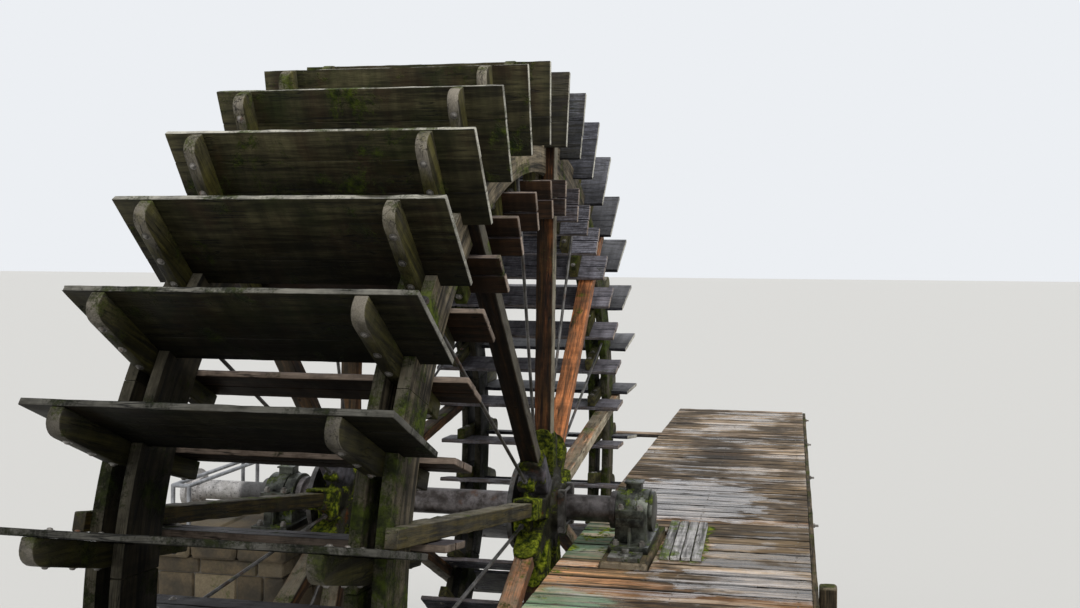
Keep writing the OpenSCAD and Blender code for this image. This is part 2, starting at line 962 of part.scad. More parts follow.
module wheel_side_piles() {
    pile_row(wheel_pile_x);
}

module river_side_piles() {
    pile_row(river_pile_x);
}

module pile_braces() {
    run = river_pile_x - wheel_pile_x;
    rise = cap_z - brace_foot - brace_drop;
    color("peru")
        for (i = [0:bays])
            translate([wheel_pile_x, deck_y0 + i * bay_len - brace_t, brace_foot])
                rotate([0, -atan(rise / run), 0])
                    translate([0, 0, -brace_h / 2])
                        cube([sqrt(run * run + rise * rise), brace_t, brace_h]);
}

// A square fender post against the deck's outer edge
module fender_post() {
    x0 = edge_x + edge_t + fender_gap;
    y0 = deck_y0 + bay_len + (pile_w - fender_w) / 2;
    color("tan")
        block(x0, x0 + fender_w, y0, y0 + fender_w, 0, deck_z);
}

wheel_shaft();
drive_shaft();
river_hub();
mill_hub();
river_shaft_flange();
mill_shaft_flange();
hub_clamps();
river_spokes();
mill_spokes();
river_rim_outer_ply();
river_rim_inner_ply();
mill_rim_outer_ply();
mill_rim_inner_ply();
river_knees();
mill_knees();
outer_paddles_a();
outer_paddles_b();
outer_paddles_c();
outer_paddles_d();
inner_paddles_a();
inner_paddles_b();
inner_paddles_c();
inner_paddles_d();
river_tie_rods();
mill_tie_rods();
river_bearing_base();
river_bearing_cap();
river_bearing_bolts();
river_bearer();
bearing_piles();
anchor_plates();
mill_bearing_base();
mill_bearing_cap();
mill_bearing_bolts();
mill_pier();
shaft_guard();
deck_planks();
cover_panel();
deck_joists();
edge_beam();
cap_beams();
wheel_side_piles();
river_side_piles();
pile_braces();
fender_post();
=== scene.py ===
"""Undershot paddle wheel with its bearings, pier and deck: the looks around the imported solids.

Metres, in the solids' frame: X along the axle, from the pier to the deck, -Y to the viewer, and Z up from
the foot of the piles. In names, "mill" is the pier's side and "river" the deck's.
An angle is measured in degrees round the axle, from the viewer's side upwards. Colours are sRGB, 0 to 255.
"""

import math
from functools import partialmethod

import bmesh
import bpy
import numpy as np
from mathutils import Matrix, Vector


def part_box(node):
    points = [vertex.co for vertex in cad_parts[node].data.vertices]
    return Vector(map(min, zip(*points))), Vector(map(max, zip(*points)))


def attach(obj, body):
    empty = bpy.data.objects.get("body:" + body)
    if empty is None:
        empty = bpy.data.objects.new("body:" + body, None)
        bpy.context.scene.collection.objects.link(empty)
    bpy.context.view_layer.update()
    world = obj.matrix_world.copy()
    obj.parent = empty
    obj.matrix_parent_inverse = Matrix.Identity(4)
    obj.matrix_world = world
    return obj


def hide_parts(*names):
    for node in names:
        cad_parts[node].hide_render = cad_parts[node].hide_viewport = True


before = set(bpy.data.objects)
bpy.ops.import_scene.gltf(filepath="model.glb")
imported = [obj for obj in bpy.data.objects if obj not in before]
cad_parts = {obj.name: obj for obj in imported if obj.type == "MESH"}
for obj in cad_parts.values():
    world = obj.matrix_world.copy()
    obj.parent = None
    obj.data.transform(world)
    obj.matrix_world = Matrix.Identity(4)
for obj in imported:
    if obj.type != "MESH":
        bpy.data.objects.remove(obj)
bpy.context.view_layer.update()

SEED = 20

# Wheel: 36 paddles, and a spoke by every fourth of them
AXLE_Z = 3.75
AXLE = np.array([0, 0, AXLE_Z])
X_WAY, Y_WAY, Z_WAY = np.eye(3)
WHEEL_R = 3.6
PADDLES = 36
PITCH = 10.0
FIRST = 10.7
PADDLE_DEPTH = 0.646
PADDLE_T = 0.038
PADDLE_LEAN = math.radians(8)
KNEE_DEPTH = 0.135
RIM_IN = 2.7503

# Spokes and inner boards stand a little further round than the paddles
SPOKE_LEAD = 0.455
SPOKES = 9
INNER_IN = 2.3913
INNER_BOARD = 0.148
INNER_STEP = 0.152
INNER_FRONT = -0.102
INNER_T = 0.045
INNER_ARM_DEPTH = 0.11

# How far the foot of a bolt head is sunk into the wood
SINK = 0.0015

# Worn timber: wavelengths of its wandering faces and of the nicks in its edges, and an edge's reach
WANDER_WAVE = 0.22
NICK_WAVE = 0.09
EDGE_REACH = 0.02


# Shapes: grids of points worked out as whole arrays

def ripple(points, seed, wave, waves=7):
    """Smooth noise of about -1 to 1: the sum of sines along random directions, each with a
    wavelength near `wave`, divided by 1.6 times the root of half their number."""
    rng = np.random.default_rng(seed)
    lines = rng.normal(size=(waves, 3))
    lines /= np.linalg.norm(lines, axis=1, keepdims=True)
    turns = 2 * np.pi / (wave * rng.uniform(0.55, 1.7, waves))
    starts = rng.uniform(0, 2 * np.pi, waves)
    return np.sin(points @ lines.T * turns + starts).sum(-1) / math.sqrt(waves / 2) / 1.6


def add_object(name, data):
    """A new object in the scene, at the origin."""
    piece = bpy.data.objects.new(name, data)
    bpy.context.collection.objects.link(piece)
    return piece


def columns(*values):
    """Numbers and rows of numbers side by side, each number repeated down its column."""
    return np.stack(np.broadcast_arrays(*values), -1)


def smooth_faces(mesh):
    mesh.polygons.foreach_set("use_smooth", np.ones(len(mesh.polygons), dtype=bool))


def store(mesh, values):
    """Gives the points values by name: a vector each where the last axis has three, else a number."""
    for key, data in values.items():
        data = np.ascontiguousarray(data, dtype=np.float32)
        kind, field = ("FLOAT_VECTOR", "vector") if data.shape[-1:] == (3,) else ("FLOAT", "value")
        mesh.attributes.new(key, kind, "POINT").data.foreach_set(field, data.ravel())


def shell(name, co, faces, values, smooth=32):
    """A mesh object from points, a list of index arrays with one face a row, and point values."""
    mesh = bpy.data.meshes.new(name)
    co = np.ascontiguousarray(co, dtype=np.float64).reshape(-1, 3)
    mesh.vertices.add(len(co))
    mesh.vertices.foreach_set("co", co.ravel())
    corners = np.concatenate([f.ravel() for f in faces])
    counts = np.concatenate([np.full(len(f), f.shape[1]) for f in faces])
    mesh.loops.add(len(corners))
    mesh.loops.foreach_set("vertex_index", corners.astype(np.int32))
    mesh.polygons.add(len(counts))
    starts = np.concatenate([[0], np.cumsum(counts)[:-1]])
    mesh.polygons.foreach_set("loop_start", starts.astype(np.int32))
    smooth_faces(mesh)
    mesh.update(calc_edges=True)
    mesh.validate()
    store(mesh, values)
    mesh.set_sharp_from_angle(angle=math.radians(smooth))
    return add_object(name, mesh)


def tube_faces(count, rings, sides, flip):
    """Quads between neighbouring rings of `count` closed strips, and the two end faces of each."""
    first = np.arange(count)[:, None, None] * rings * sides
    ring = np.arange(rings - 1)[None, :, None] * sides
    side = np.arange(sides)[None, None, :]
    after = (side + 1) % sides
    quads = np.stack([first + ring + side, first + ring + after,
                      first + ring + sides + after, first + ring + sides + side], -1).reshape(-1, 4)
    around = np.arange(sides)[None, :] + first[:, 0, :]
    ends = np.concatenate([around[:, ::-1], around + (rings - 1) * sides])
    if flip:
        quads = quads[:, ::-1]
        ends = ends[:, ::-1]
    return [quads, ends]


def section(wide, narrow):
    """A rectangle's outline with eased corners, as shares of its free width and thickness: the rows
    are share across, share through, and the side's number (front, far edge, back, near edge). A share
    of -1 or 2 is the face itself. Each broad face has a narrow strip along both lips."""
    w = np.concatenate([[0.0], np.linspace(0.07, 0.93, wide + 2), [1.0]])
    n = np.linspace(0, 1, narrow + 2)
    across = np.concatenate([w, np.full(len(n), 2.0), w[::-1], np.full(len(n), -1.0)])
    through = np.concatenate([np.full(len(w), -1.0), n, np.full(len(w), 2.0), n[::-1]])
    side = np.repeat([0, 1, 2, 3], [len(w), len(n), len(w), len(n)])
    return across, through, side


def wear_in(a, b, w, t, where, wear, rough, seed):
    """Places across and through after long wear: both are moved inwards by a smooth noise, through most
    near the edges, and by the nicks of a finer one along the worn edges."""
    wander = np.abs(rough * ripple(where, seed, WANDER_WAVE))
    nick = np.clip(ripple(where * [1, 0.3, 0.3], seed + 50, NICK_WAVE) - 0.15, 0, None)
    near_edge = np.exp(-np.minimum(a, w - a) / EDGE_REACH)
    a_in = (wear > 0) * wander + wear * nick
    b_in = wander * (0.4 + 0.6 * near_edge) + 0.35 * wear.max() * nick * near_edge
    return a + np.where(a > w / 2, -1.0, 1.0) * a_in, b + np.where(b > t / 2, -1.0, 1.0) * b_in


def timbers(name, origin, along, across, through, size, *, arris=0.006, rings=12, wide=3, narrow=0,
            rough=0.0015, bow=0.0, ragged=0.0, short=0.0, pale=(0, 0, 0, 0), pale_ends=1.0, lip=0.0,
            tone=0.16, tint=None, tones=None, cut=None, seed=1):
    """Boards and beams. Each is its section carried along its length: a point is the origin plus u
    along, a across and b through, where the end rings are drawn in by the arris, the faces and edges are
    worn in, and the length falls a little short. `ragged` and `pale` hold for every timber or for each
    one's four sides."""
    rng = np.random.default_rng(SEED + seed)
    origin, along, across, through, size = (np.broadcast_to(np.asarray(v, float), (len(size), 3)).copy()
                                            for v in (origin, along, across, through, size))
    count = len(size)
    share_a, share_b, side = section(wide, narrow)
    length = size[:, 0] - rng.uniform(0, short, count)
    u = arris + np.linspace(0, 1, rings)[None, :] * (length[:, None] - 2 * arris)
    u = np.concatenate([np.zeros((count, 1)), u, length[:, None]], 1)
    grid = (count, rings + 2, len(side))
    u = np.broadcast_to(u[:, :, None], grid)
    w, t = size[:, 1, None, None], size[:, 2, None, None]

    def place(share, full):
        between = np.where(share > 1, full, arris + share * (full - 2 * arris))
        return np.where(share < 0, 0, between) + np.zeros(grid)

    a, b = place(share_a, w), place(share_b, t)
    if cut is not None:
        b = cut(u, b)
    drawn = np.zeros((1, rings + 2, 1))
    drawn[:, [0, -1]] = arris
    a = w / 2 + (a - w / 2) * (1 - 2 * drawn / w)
    b = t / 2 + (b - t / 2) * (1 - 2 * drawn / t)
    apart = np.arange(count)[:, None, None, None] * np.array([11.7, 5.3, 3.1])
    where = np.stack([u, a, b], -1) + apart
    wear = np.broadcast_to(np.asarray(ragged, float) * np.array([0, 1, 0, 1]), (count, 4))[:, None, side]
    a, b = wear_in(a, b, w, t, where, wear, rough, SEED + seed)
    bend = rng.uniform(-1, 1, (count, 1, 1)) * bow
    b = b + bend * np.sin(np.pi * u / length[:, None, None]) * (1 - 0.3 * np.abs(bend / max(bow, 1e-9)))
    spot = (origin[:, None, None] + along[:, None, None] * u[..., None]
            + across[:, None, None] * a[..., None] + through[:, None, None] * b[..., None])
    flip = np.dot(np.cross(across[0], through[0]), along[0]) < 0
    edge = np.broadcast_to(np.asarray(pale, float), (count, 4))[:, None, side] + np.zeros(grid)
    edge = np.where(((share_a == 0) | (share_a == 1)) & (side % 2 == 0), np.maximum(edge, lip), edge)
    edge[:, [0, -1]] = np.maximum(edge[:, [0, -1]], pale_ends)
    tones = rng.uniform(1 - tone, 1 + tone, count) if tones is None else tones
    tint = rng.uniform(0, 1, count) if tint is None else tint
    values = {"grain": where, "edge": edge}
    for key, own in (("tone", tones), ("tint", tint)):
        values[key] = np.broadcast_to(np.asarray(own, float)[:, None, None], grid)
    return shell(name, spot, tube_faces(*grid, flip), values, smooth=40)


def turned(name, profile, centre, axis, sides=10, smooth=40):
    """Heads, nuts and pins: a profile of (radius, height) pairs turned round each axis, closed at the
    ends. A point is the centre plus height along the axis plus radius times a unit circle."""
    centre = np.asarray(centre, float).reshape(-1, 3)
    axis = np.broadcast_to(np.asarray(axis, float), centre.shape)
    axis = axis / np.linalg.norm(axis, axis=1, keepdims=True)
    helper = np.where(np.abs(axis[:, :1]) < 0.8, [[1.0, 0, 0]], [[0, 1.0, 0]])
    e1 = np.cross(axis, helper)
    e1 /= np.linalg.norm(e1, axis=1, keepdims=True)
    e2 = np.cross(axis, e1)
    r, h = np.asarray(profile, float).T
    turn = np.linspace(0, 2 * np.pi, sides, endpoint=False)
    circle = e1[:, None, :] * np.cos(turn)[None, :, None] + e2[:, None, :] * np.sin(turn)[None, :, None]
    spot = (centre[:, None, None] + axis[:, None, None] * h[None, :, None, None]
            + circle[:, None] * r[None, :, None, None])
    tone = np.broadcast_to(0.8 + (1.7 * np.arange(len(centre)) % 0.4)[:, None, None], spot.shape[:3])
    return shell(name, spot, tube_faces(len(centre), len(r), sides, False), {"tone": tone}, smooth)


def wheel_axes(angles):
    """Unit vectors outwards and onwards at each angle of the wheel."""
    a = np.radians(np.asarray(angles, float))
    return columns(0, -np.cos(a), np.sin(a)), columns(0, np.sin(a), np.cos(a))


def clean_copy(node):
    """A CAD node's mesh, merged and freed from the diagonals of its flat faces."""
    bm = bmesh.new()
    bm.from_mesh(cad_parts[node].data)
    bmesh.ops.remove_doubles(bm, verts=bm.verts, dist=2e-5)
    bmesh.ops.dissolve_limit(bm, angle_limit=math.radians(0.6), verts=bm.verts, edges=bm.edges)
    mesh = bpy.data.meshes.new(node)
    bm.to_mesh(mesh)
    bm.free()
    return mesh


def points_of(mesh):
    """The mesh's points, one a row."""
    co = np.empty(len(mesh.vertices) * 3)
    mesh.vertices.foreach_get("co", co)
    return co.reshape(-1, 3)


def islands(mesh):
    """The number of the solid that each point belongs to, and the edges' point pairs: labels spread
    along edges until they rest."""
    pairs = np.empty(len(mesh.edges) * 2, dtype=np.int32)
    mesh.edges.foreach_get("vertices", pairs)
    pairs = pairs.reshape(-1, 2)
    label = np.arange(len(mesh.vertices))
    while True:
        low = label.copy()
        np.minimum.at(low, pairs[:, 0], label[pairs[:, 1]])
        np.minimum.at(low, pairs[:, 1], label[pairs[:, 0]])
        low = low[low]
        if (low == label).all():
            return np.unique(label, return_inverse=True)[1], pairs
        label = low


def box_frames(node):
    """Origin, three unit vectors and size of each box in a CAD node, longest way first: the longest
    edge gives the first vector and the longest edge square to it the second."""
    mesh = clean_copy(node)
    co = points_of(mesh)
    label, pairs = islands(mesh)
    way = co[pairs[:, 1]] - co[pairs[:, 0]]
    span = np.linalg.norm(way, axis=1)
    rows = []
    for i in range(label.max() + 1):
        mine = label[pairs[:, 0]] == i
        w, s = way[mine], span[mine]
        u = w[s.argmax()] / s.max()
        square = np.abs(w @ u) < 0.02 * s
        v = w[square][s[square].argmax()]
        v /= np.linalg.norm(v)
        u, v = (axis * (1 if axis[np.abs(axis).argmax()] > 0 else -1) for axis in (u, v))
        axes = np.stack([u, v, np.cross(u, v)])
        local = co[label == i] @ axes.T
        rows.append(np.concatenate([local.min(0) @ axes, axes.ravel(), np.ptp(local, axis=0)]))
    bpy.data.meshes.remove(mesh)
    return np.split(np.array(rows), 5, axis=1)


def eased(node, name, width):
    """A merged copy of a CAD node whose sharp edges are eased."""
    mesh = clean_copy(node)
    mesh.name = name
    smooth_faces(mesh)
    piece = add_object(name, mesh)
    bevel = piece.modifiers.new("ease", "BEVEL")
    bevel.width = width
    bevel.segments = 2
    bevel.limit_method = "ANGLE"
    bevel.angle_limit = math.radians(32)
    bevel.harden_normals = True
    return piece


def settle(piece, body, slot, finish, *nodes):
    """Gives a piece its finish and its body, and the CAD nodes whose place it takes; `slot` is not used."""
    piece.data.materials.clear()
    piece.data.materials.append(finish)
    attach(piece, body)
    if nodes:
        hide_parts(*nodes)


def dress(node, finish):
    """Gives a carried CAD node its finish."""
    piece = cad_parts[node]
    if not piece.material_slots:
        piece.data.materials.append(None)
    for slot in piece.material_slots:
        slot.link = "OBJECT"
        slot.material = finish


# Finishes

def colour(value):
    """sRGB numbers of 0 to 255, as the linear colour that a socket takes."""
    if isinstance(value, bpy.types.NodeSocket):
        return value
    c = np.asarray(value, float) / 255
    c = np.where(c <= 0.04045, c / 12.92, ((c + 0.055) / 1.055) ** 2.4)
    return (*c, 1.0)


class Tree:
    """A node tree under construction: nodes are added by kind and wired by socket."""

    def __init__(self, owner):
        owner.use_nodes = True
        self.tree = owner.node_tree

    def add(self, kind, values=None, out=0, **settings):
        node = self.tree.nodes.new(kind)
        for key, value in settings.items():
            setattr(node, key, value)
        for key, value in (values or {}).items():
            self.wire(node.inputs[key], value)
        return node.outputs[out]

    def wire(self, socket, value):
        if isinstance(value, bpy.types.NodeSocket):
            self.tree.links.new(value, socket)
        else:
            socket.default_value = value

    def compute(self, operation, first, second=0.0, clamp=False):
        return self.add("ShaderNodeMath", {0: first, 1: second}, operation=operation, use_clamp=clamp)

    plus = partialmethod(compute, "ADD")
    minus = partialmethod(compute, "SUBTRACT")
    times = partialmethod(compute, "MULTIPLY")
    larger = partialmethod(compute, "MAXIMUM")


class Finish(Tree):
    """A material under construction."""

    def __init__(self, name):
        self.material = bpy.data.materials.new(name)
        super().__init__(self.material)
        self.shader = self.tree.nodes["Principled BSDF"]

    def sway(self, value, noise, by):
        """A value moved up and down by a noise, counted from the noise's middle."""
        return self.plus(value, self.times(self.minus(noise, 0.5), by))

    def noise(self, vector, scale, detail=4.0, rough=0.55, warp=0.0):
        return self.add("ShaderNodeTexNoise", {"Vector": vector, "Scale": scale, "Detail": detail,
                                               "Roughness": rough, "Distortion": warp})

    def stretch(self, vector, scale, move=(0, 0, 0)):
        return self.add("ShaderNodeMapping", {"Vector": vector, "Scale": scale, "Location": move})

    def streaks(self, vector, scale, move, detail, rough, warp=0.0):
        """A noise drawn out by its three scales and moved to a stretch of its own."""
        return self.noise(self.stretch(vector, scale, move), 1.0, detail, rough, warp)

    def cracks(self, vector, run, width, scale, low):
        """Thin cracks: where a drawn-out noise passes its middle, in some stretches only."""
        thin = self.step(self.compute("ABSOLUTE", self.minus(run, 0.5)), 0.004, width, 1.0, 0.0)
        return self.times(thin, self.step(self.noise(vector, scale, 2), low, 0.6))

    def step(self, value, low, high, to_low=0.0, to_high=1.0):
        return self.add("ShaderNodeMapRange", {0: value, 1: low, 2: high, 3: to_low, 4: to_high},
                        interpolation_type="SMOOTHSTEP")

    def mix(self, share, first, second):
        node = self.tree.nodes.new("ShaderNodeMix")
        node.data_type = "RGBA"
        self.wire(node.inputs[0], share)
        self.wire(node.inputs[6], colour(first))
        self.wire(node.inputs[7], colour(second))
        return node.outputs[2]

    def scale_colour(self, tint, by):
        return self.add("ShaderNodeHueSaturation", {"Color": tint, "Value": by})

    def dim(self, tint, value, *limits):
        """A colour scaled by a step of a value."""
        return self.scale_colour(tint, self.step(value, *limits))

    def place(self):
        return self.add("ShaderNodeTexCoord", out=3)

    def parts(self, vector):
        """The X, Y and Z sockets of a vector."""
        split = self.tree.nodes.new("ShaderNodeSeparateXYZ")
        self.tree.links.new(vector, split.inputs[0])
        return split.outputs

    def facing(self):
        """The surface's own direction at rest, as X, Y and Z sockets."""
        return self.parts(self.add("ShaderNodeTexCoord", out=1))

    def from_axle(self, spot):
        """Distance of a place from the axle."""
        _, y, z = self.parts(spot)
        up = self.minus(z, AXLE_Z)
        return self.compute("SQRT", self.plus(self.times(up, up), self.times(y, y)))

    def painted_low_shade(self, spot, low):
        """A painted shade: a brightness from `low` where the wheel is low on the viewer's side, also where
        it is wettest, to 1 high up and behind."""
        _, y, z = self.parts(spot)
        share = self.step(self.plus(z, self.times(y, 0.8)), 1.7, 5.4)
        return self.add("ShaderNodeMapRange", {0: self.compute("POWER", share, 1.4), 3: low, 4: 1.0})

    def value(self, name, out=2):
        return self.add("ShaderNodeAttribute", out=out, attribute_name=name)

    def close(self, base, rough, height, lift, metal=0.0, gloss=0.5):
        self.wire(self.shader.inputs["Base Color"], base)
        self.wire(self.shader.inputs["Roughness"], rough)
        self.shader.inputs["Metallic"].default_value = metal
        self.wire(self.shader.inputs["Specular IOR Level"], gloss)
        self.wire(self.shader.inputs["Normal"],
                  self.add("ShaderNodeBump", {"Height": height, "Distance": lift, "Strength": 0.9}))
        return self.material


def round_grain(f):
    """The grain of a curved timber: arc length, distance from the axle, and X."""
    mean_radius = 2.9
    spot = f.place()
    x, y, z = f.parts(spot)
    turn = f.times(f.compute("ARCTAN2", f.minus(z, AXLE_Z), y), mean_radius)
    return f.add("ShaderNodeCombineXYZ", {0: turn, 1: f.from_axle(spot), 2: x})


def edge_wear(f, edge):
    """Share of pale weathering: from the piece's own values, which on spokes hold painted light as well,
    on a ply's edges, or on a knee's nose.
    """
    if edge == "value":
        return f.value("edge")
    share = f.step(f.compute("ABSOLUTE", f.facing()[0]), 0.4, 0.8, 0.8, 0.0)
    if edge == "nose":
        share = f.times(f.plus(share, 0.12), f.step(f.from_axle(f.place()), 3.3, 3.54, 0.08, 1.0))
    return share


RUDDY = (60, 44, 30)
OCHRE = (30, 27, 10), (104, 92, 34)
SLATE_DEEP = (30, 31, 38)
# A rim's pale, speckled top: weathering together with painted light from above
LIT_TOP_SPECKLE = (44, 41, 38), (188, 182, 174)
CRACK = (8, 7, 5)


def spoke_tint(f, base, vector, tinted):
    """A spoke's own tint, darker veins and soot along the grain, and ochre where the tint is under 0."""
    run = f.streaks(vector, (1.1, 9, 9), (9, 4, 2), 5, 0.65)
    base = f.mix(f.step(f.sway(f.value("tint"), run, 2.6), 0.3, 1.05), base, tinted)
    veins = f.streaks(vector, (2.2, 34, 34), (4, 8, 1), 6, 0.68, 0.5)
    soot = f.streaks(vector, (2.4, 5, 5), (1, 7, 3), 5, 0.7)
    dark = f.times(f.step(veins, 0.38, 0.58, 0.38, 1.12), f.step(soot, 0.36, 0.54, 0.5, 1.1))
    base = f.scale_colour(base, dark)
    ochre = f.mix(f.step(veins, 0.4, 0.6), *OCHRE)
    return f.mix(f.step(f.value("tint"), -0.5, 0.0, 0.85, 0.0), base, ochre)


def slate_behind(f, base, vector, slate, bleach_and_top_light):
    """Greyer, bluer, finely streaked wood behind the axle, partly a painted sky sheen on its wet faces, and
    paler upper faces all round, from bleaching and painted light from above.
    """
    spot = f.place()
    fine = f.streaks(vector, (4, 60, 60), (5, 5, 5), 4, 0.7)
    grey = f.mix(f.step(fine, 0.36, 0.64), SLATE_DEEP, slate)
    grey = f.dim(grey, f.noise(spot, 48, 4, 0.7), 0.35, 0.66, 0.7, 1.3)
    # Behind the axle: greyer wood, partly a painted sky sheen; then upper faces paler, with painted light
    # from above.
    base = f.mix(f.step(f.parts(spot)[1], -0.4, 1.3, 0.0, 0.9), base, grey)
    return f.mix(f.step(f.facing()[2], 0.35, 0.9, 0.0, 0.6), base, bleach_and_top_light)


def moss_patches(f, spot, clump, edge_share, paddle, rim):
    """Where moss takes hold: a broad noise with the clumps' own, more on upper faces and pale edges, less
    on a paddle behind the axle, and on a rim more behind the axle and less at the top."""
    patch = f.sway(f.noise(spot, 2.6, 6, 0.68, 0.3), clump, 0.22)
    top = f.times(f.larger(f.facing()[2], 0.0), 0.07)
    patch = f.plus(patch, f.plus(top, f.times(edge_share, 0.03)))
    _, y, z = f.parts(spot)
    if rim:
        patch = f.plus(patch, f.step(y, 0.0, 2.0, 0.0, 0.05))
        patch = f.minus(patch, f.step(z, 5.2, 6.4, 0.0, 0.07))
    if paddle:
        patch = f.minus(patch, f.step(y, -0.4, 1.4, 0.0, 0.14))
    return patch


def timber(name, deep, body, worn, moss, stain=None, edge="value", grain="value", wet=0.5, tinted=None,
           low=None, root=None, slate=None, bleach_and_top_light=(120, 120, 122), shade=None):
    """Weathered timber: fibres and streaks along the grain between the deep and the body colour, runs of
    dirt across it, long cracks, pale weathered edges, which on spokes also hold painted light on their lit
    sides, and moss in patches with its own fine clumps.
    `moss` is its share, its deep and its light colour. `tinted` colours spokes by their own tint, and
    `stain` clouds a timber. `low` is the brightness of a painted shade over the low part of the wheel on
    the viewer's side, which is also its wettest. `root` is the brightness of a painted shadow on a paddle
    towards its root at the rim, and darkens it past the river rim too. `slate` is the greyer, bluer
    colour of what lies behind the axle, partly a painted sky sheen on its wet faces, and
    `bleach_and_top_light` the paler colour of upper faces, from bleaching and painted light from above.
    `shade` instead gives a rim a painted shade behind the axle, where moss greens it, and painted light
    from above that turns its top pale and speckled."""
    f = Finish(name)
    vector = f.value("grain", 1) if grain == "value" else round_grain(f)
    spot = f.place()
    x, y, z = f.parts(spot)
    streak = f.streaks(vector, (1.6, 22, 22), (0, 0, 0), 6, 0.62, 0.4)
    fibre = f.streaks(vector, (9, 190, 190), (0, 0, 0), 3, 0.6)
    runs = f.streaks(vector, (13, 1.5, 1.5), (2, 6, 1), 5, 0.6)
    crack = f.cracks(vector, f.streaks(vector, (0.9, 17, 17), (3, 1, 7), 4, 0.55, 0.6), 0.016, 2.3, 0.42)
    clump = f.noise(spot, 75, 3, 0.65)

    base = f.mix(f.step(streak, 0.34, 0.68), deep, body)
    if tinted is not None:
        base = spoke_tint(f, base, vector, tinted)
    if stain is not None:
        base = f.mix(f.step(f.noise(spot, 1.9, 6, 0.62), 0.46, 0.68, 0.0, 0.8), base, stain)
    if root is not None:
        ruddy = f.noise(f.stretch(spot, (1.0, 0.6, 0.6), (7, 3, 4)), 4.2, 5, 0.6)
        base = f.mix(f.step(ruddy, 0.48, 0.68, 0.0, 0.6), base, RUDDY)
    if slate is not None:
        base = slate_behind(f, base, vector, slate, bleach_and_top_light)
    base = f.dim(base, runs, 0.3, 0.7, 0.66, 1.25)
    # Painted shadow on a paddle towards its root at the rim, and darker past the river rim.
    if root is not None:
        base = f.dim(base, f.from_axle(spot), 2.98, 3.5, root, 1.0)
        base = f.dim(base, x, 2.6, 2.78, 1.0, 0.72)
    # Pale weathered edges; on spokes the pale sides hold painted light as well.
    edge_share = edge_wear(f, edge)
    patchy = f.step(f.noise(vector, 6.5, 5, 0.65), 0.3, 0.62, 0.3, 1.0)
    base = f.mix(f.times(f.times(edge_share, patchy), 0.95), base, worn)
    tone = f.step(fibre, 0.25, 0.75, 0.7, 1.3)
    if grain == "value":
        tone = f.times(tone, f.value("tone"))
    base = f.scale_colour(base, tone)
    base = f.mix(f.times(crack, 0.85), base, CRACK)

    moss_share, moss_deep, moss_light = moss
    patch = moss_patches(f, spot, clump, edge_share, paddle=root is not None, rim=shade is not None)
    share = f.step(patch, 0.68 - 0.25 * moss_share, 0.78 - 0.2 * moss_share)
    green = f.mix(f.step(f.noise(spot, 19, 4), 0.35, 0.68), moss_deep, moss_light)
    base = f.mix(f.times(share, 0.9), base, green)
    # Painted shade on the low part of the wheel on the viewer's side, which is also its wettest.
    if low is not None:
        base = f.scale_colour(base, f.painted_low_shade(spot, low))
    # Painted shade on a rim behind the axle, and painted light from above on its top, pale and speckled.
    if shade is not None:
        base = f.dim(base, y, -0.2, 1.6, 1.0, shade)
        speckled = f.mix(f.step(f.noise(spot, 62, 4, 0.75), 0.4, 0.58), *LIT_TOP_SPECKLE)
        high = f.times(f.step(z, 5.4, 6.7, 0.0, 0.7), f.step(f.facing()[1], -0.9, 0.1, 1.0, 0.0))
        base = f.mix(high, base, speckled)

    height = f.plus(f.times(fibre, 0.35), f.times(streak, 0.5))
    height = f.minus(height, f.times(crack, 0.9))
    height = f.plus(height, f.times(share, f.plus(f.times(clump, 1.6), 0.5)))
    dry = f.step(f.noise(spot, 2.2, 4, 0.6), 0.35, 0.68)
    rough = f.plus(f.times(dry, wet * 0.35), 0.88 - wet * 0.5)
    rough = f.plus(rough, f.times(share, 0.25), clamp=True)
    return f.close(base, rough, height, 0.004, gloss=0.18)


SPECK = (34, 34, 30)
BARE_IRON = (52, 51, 56), (104, 102, 110)


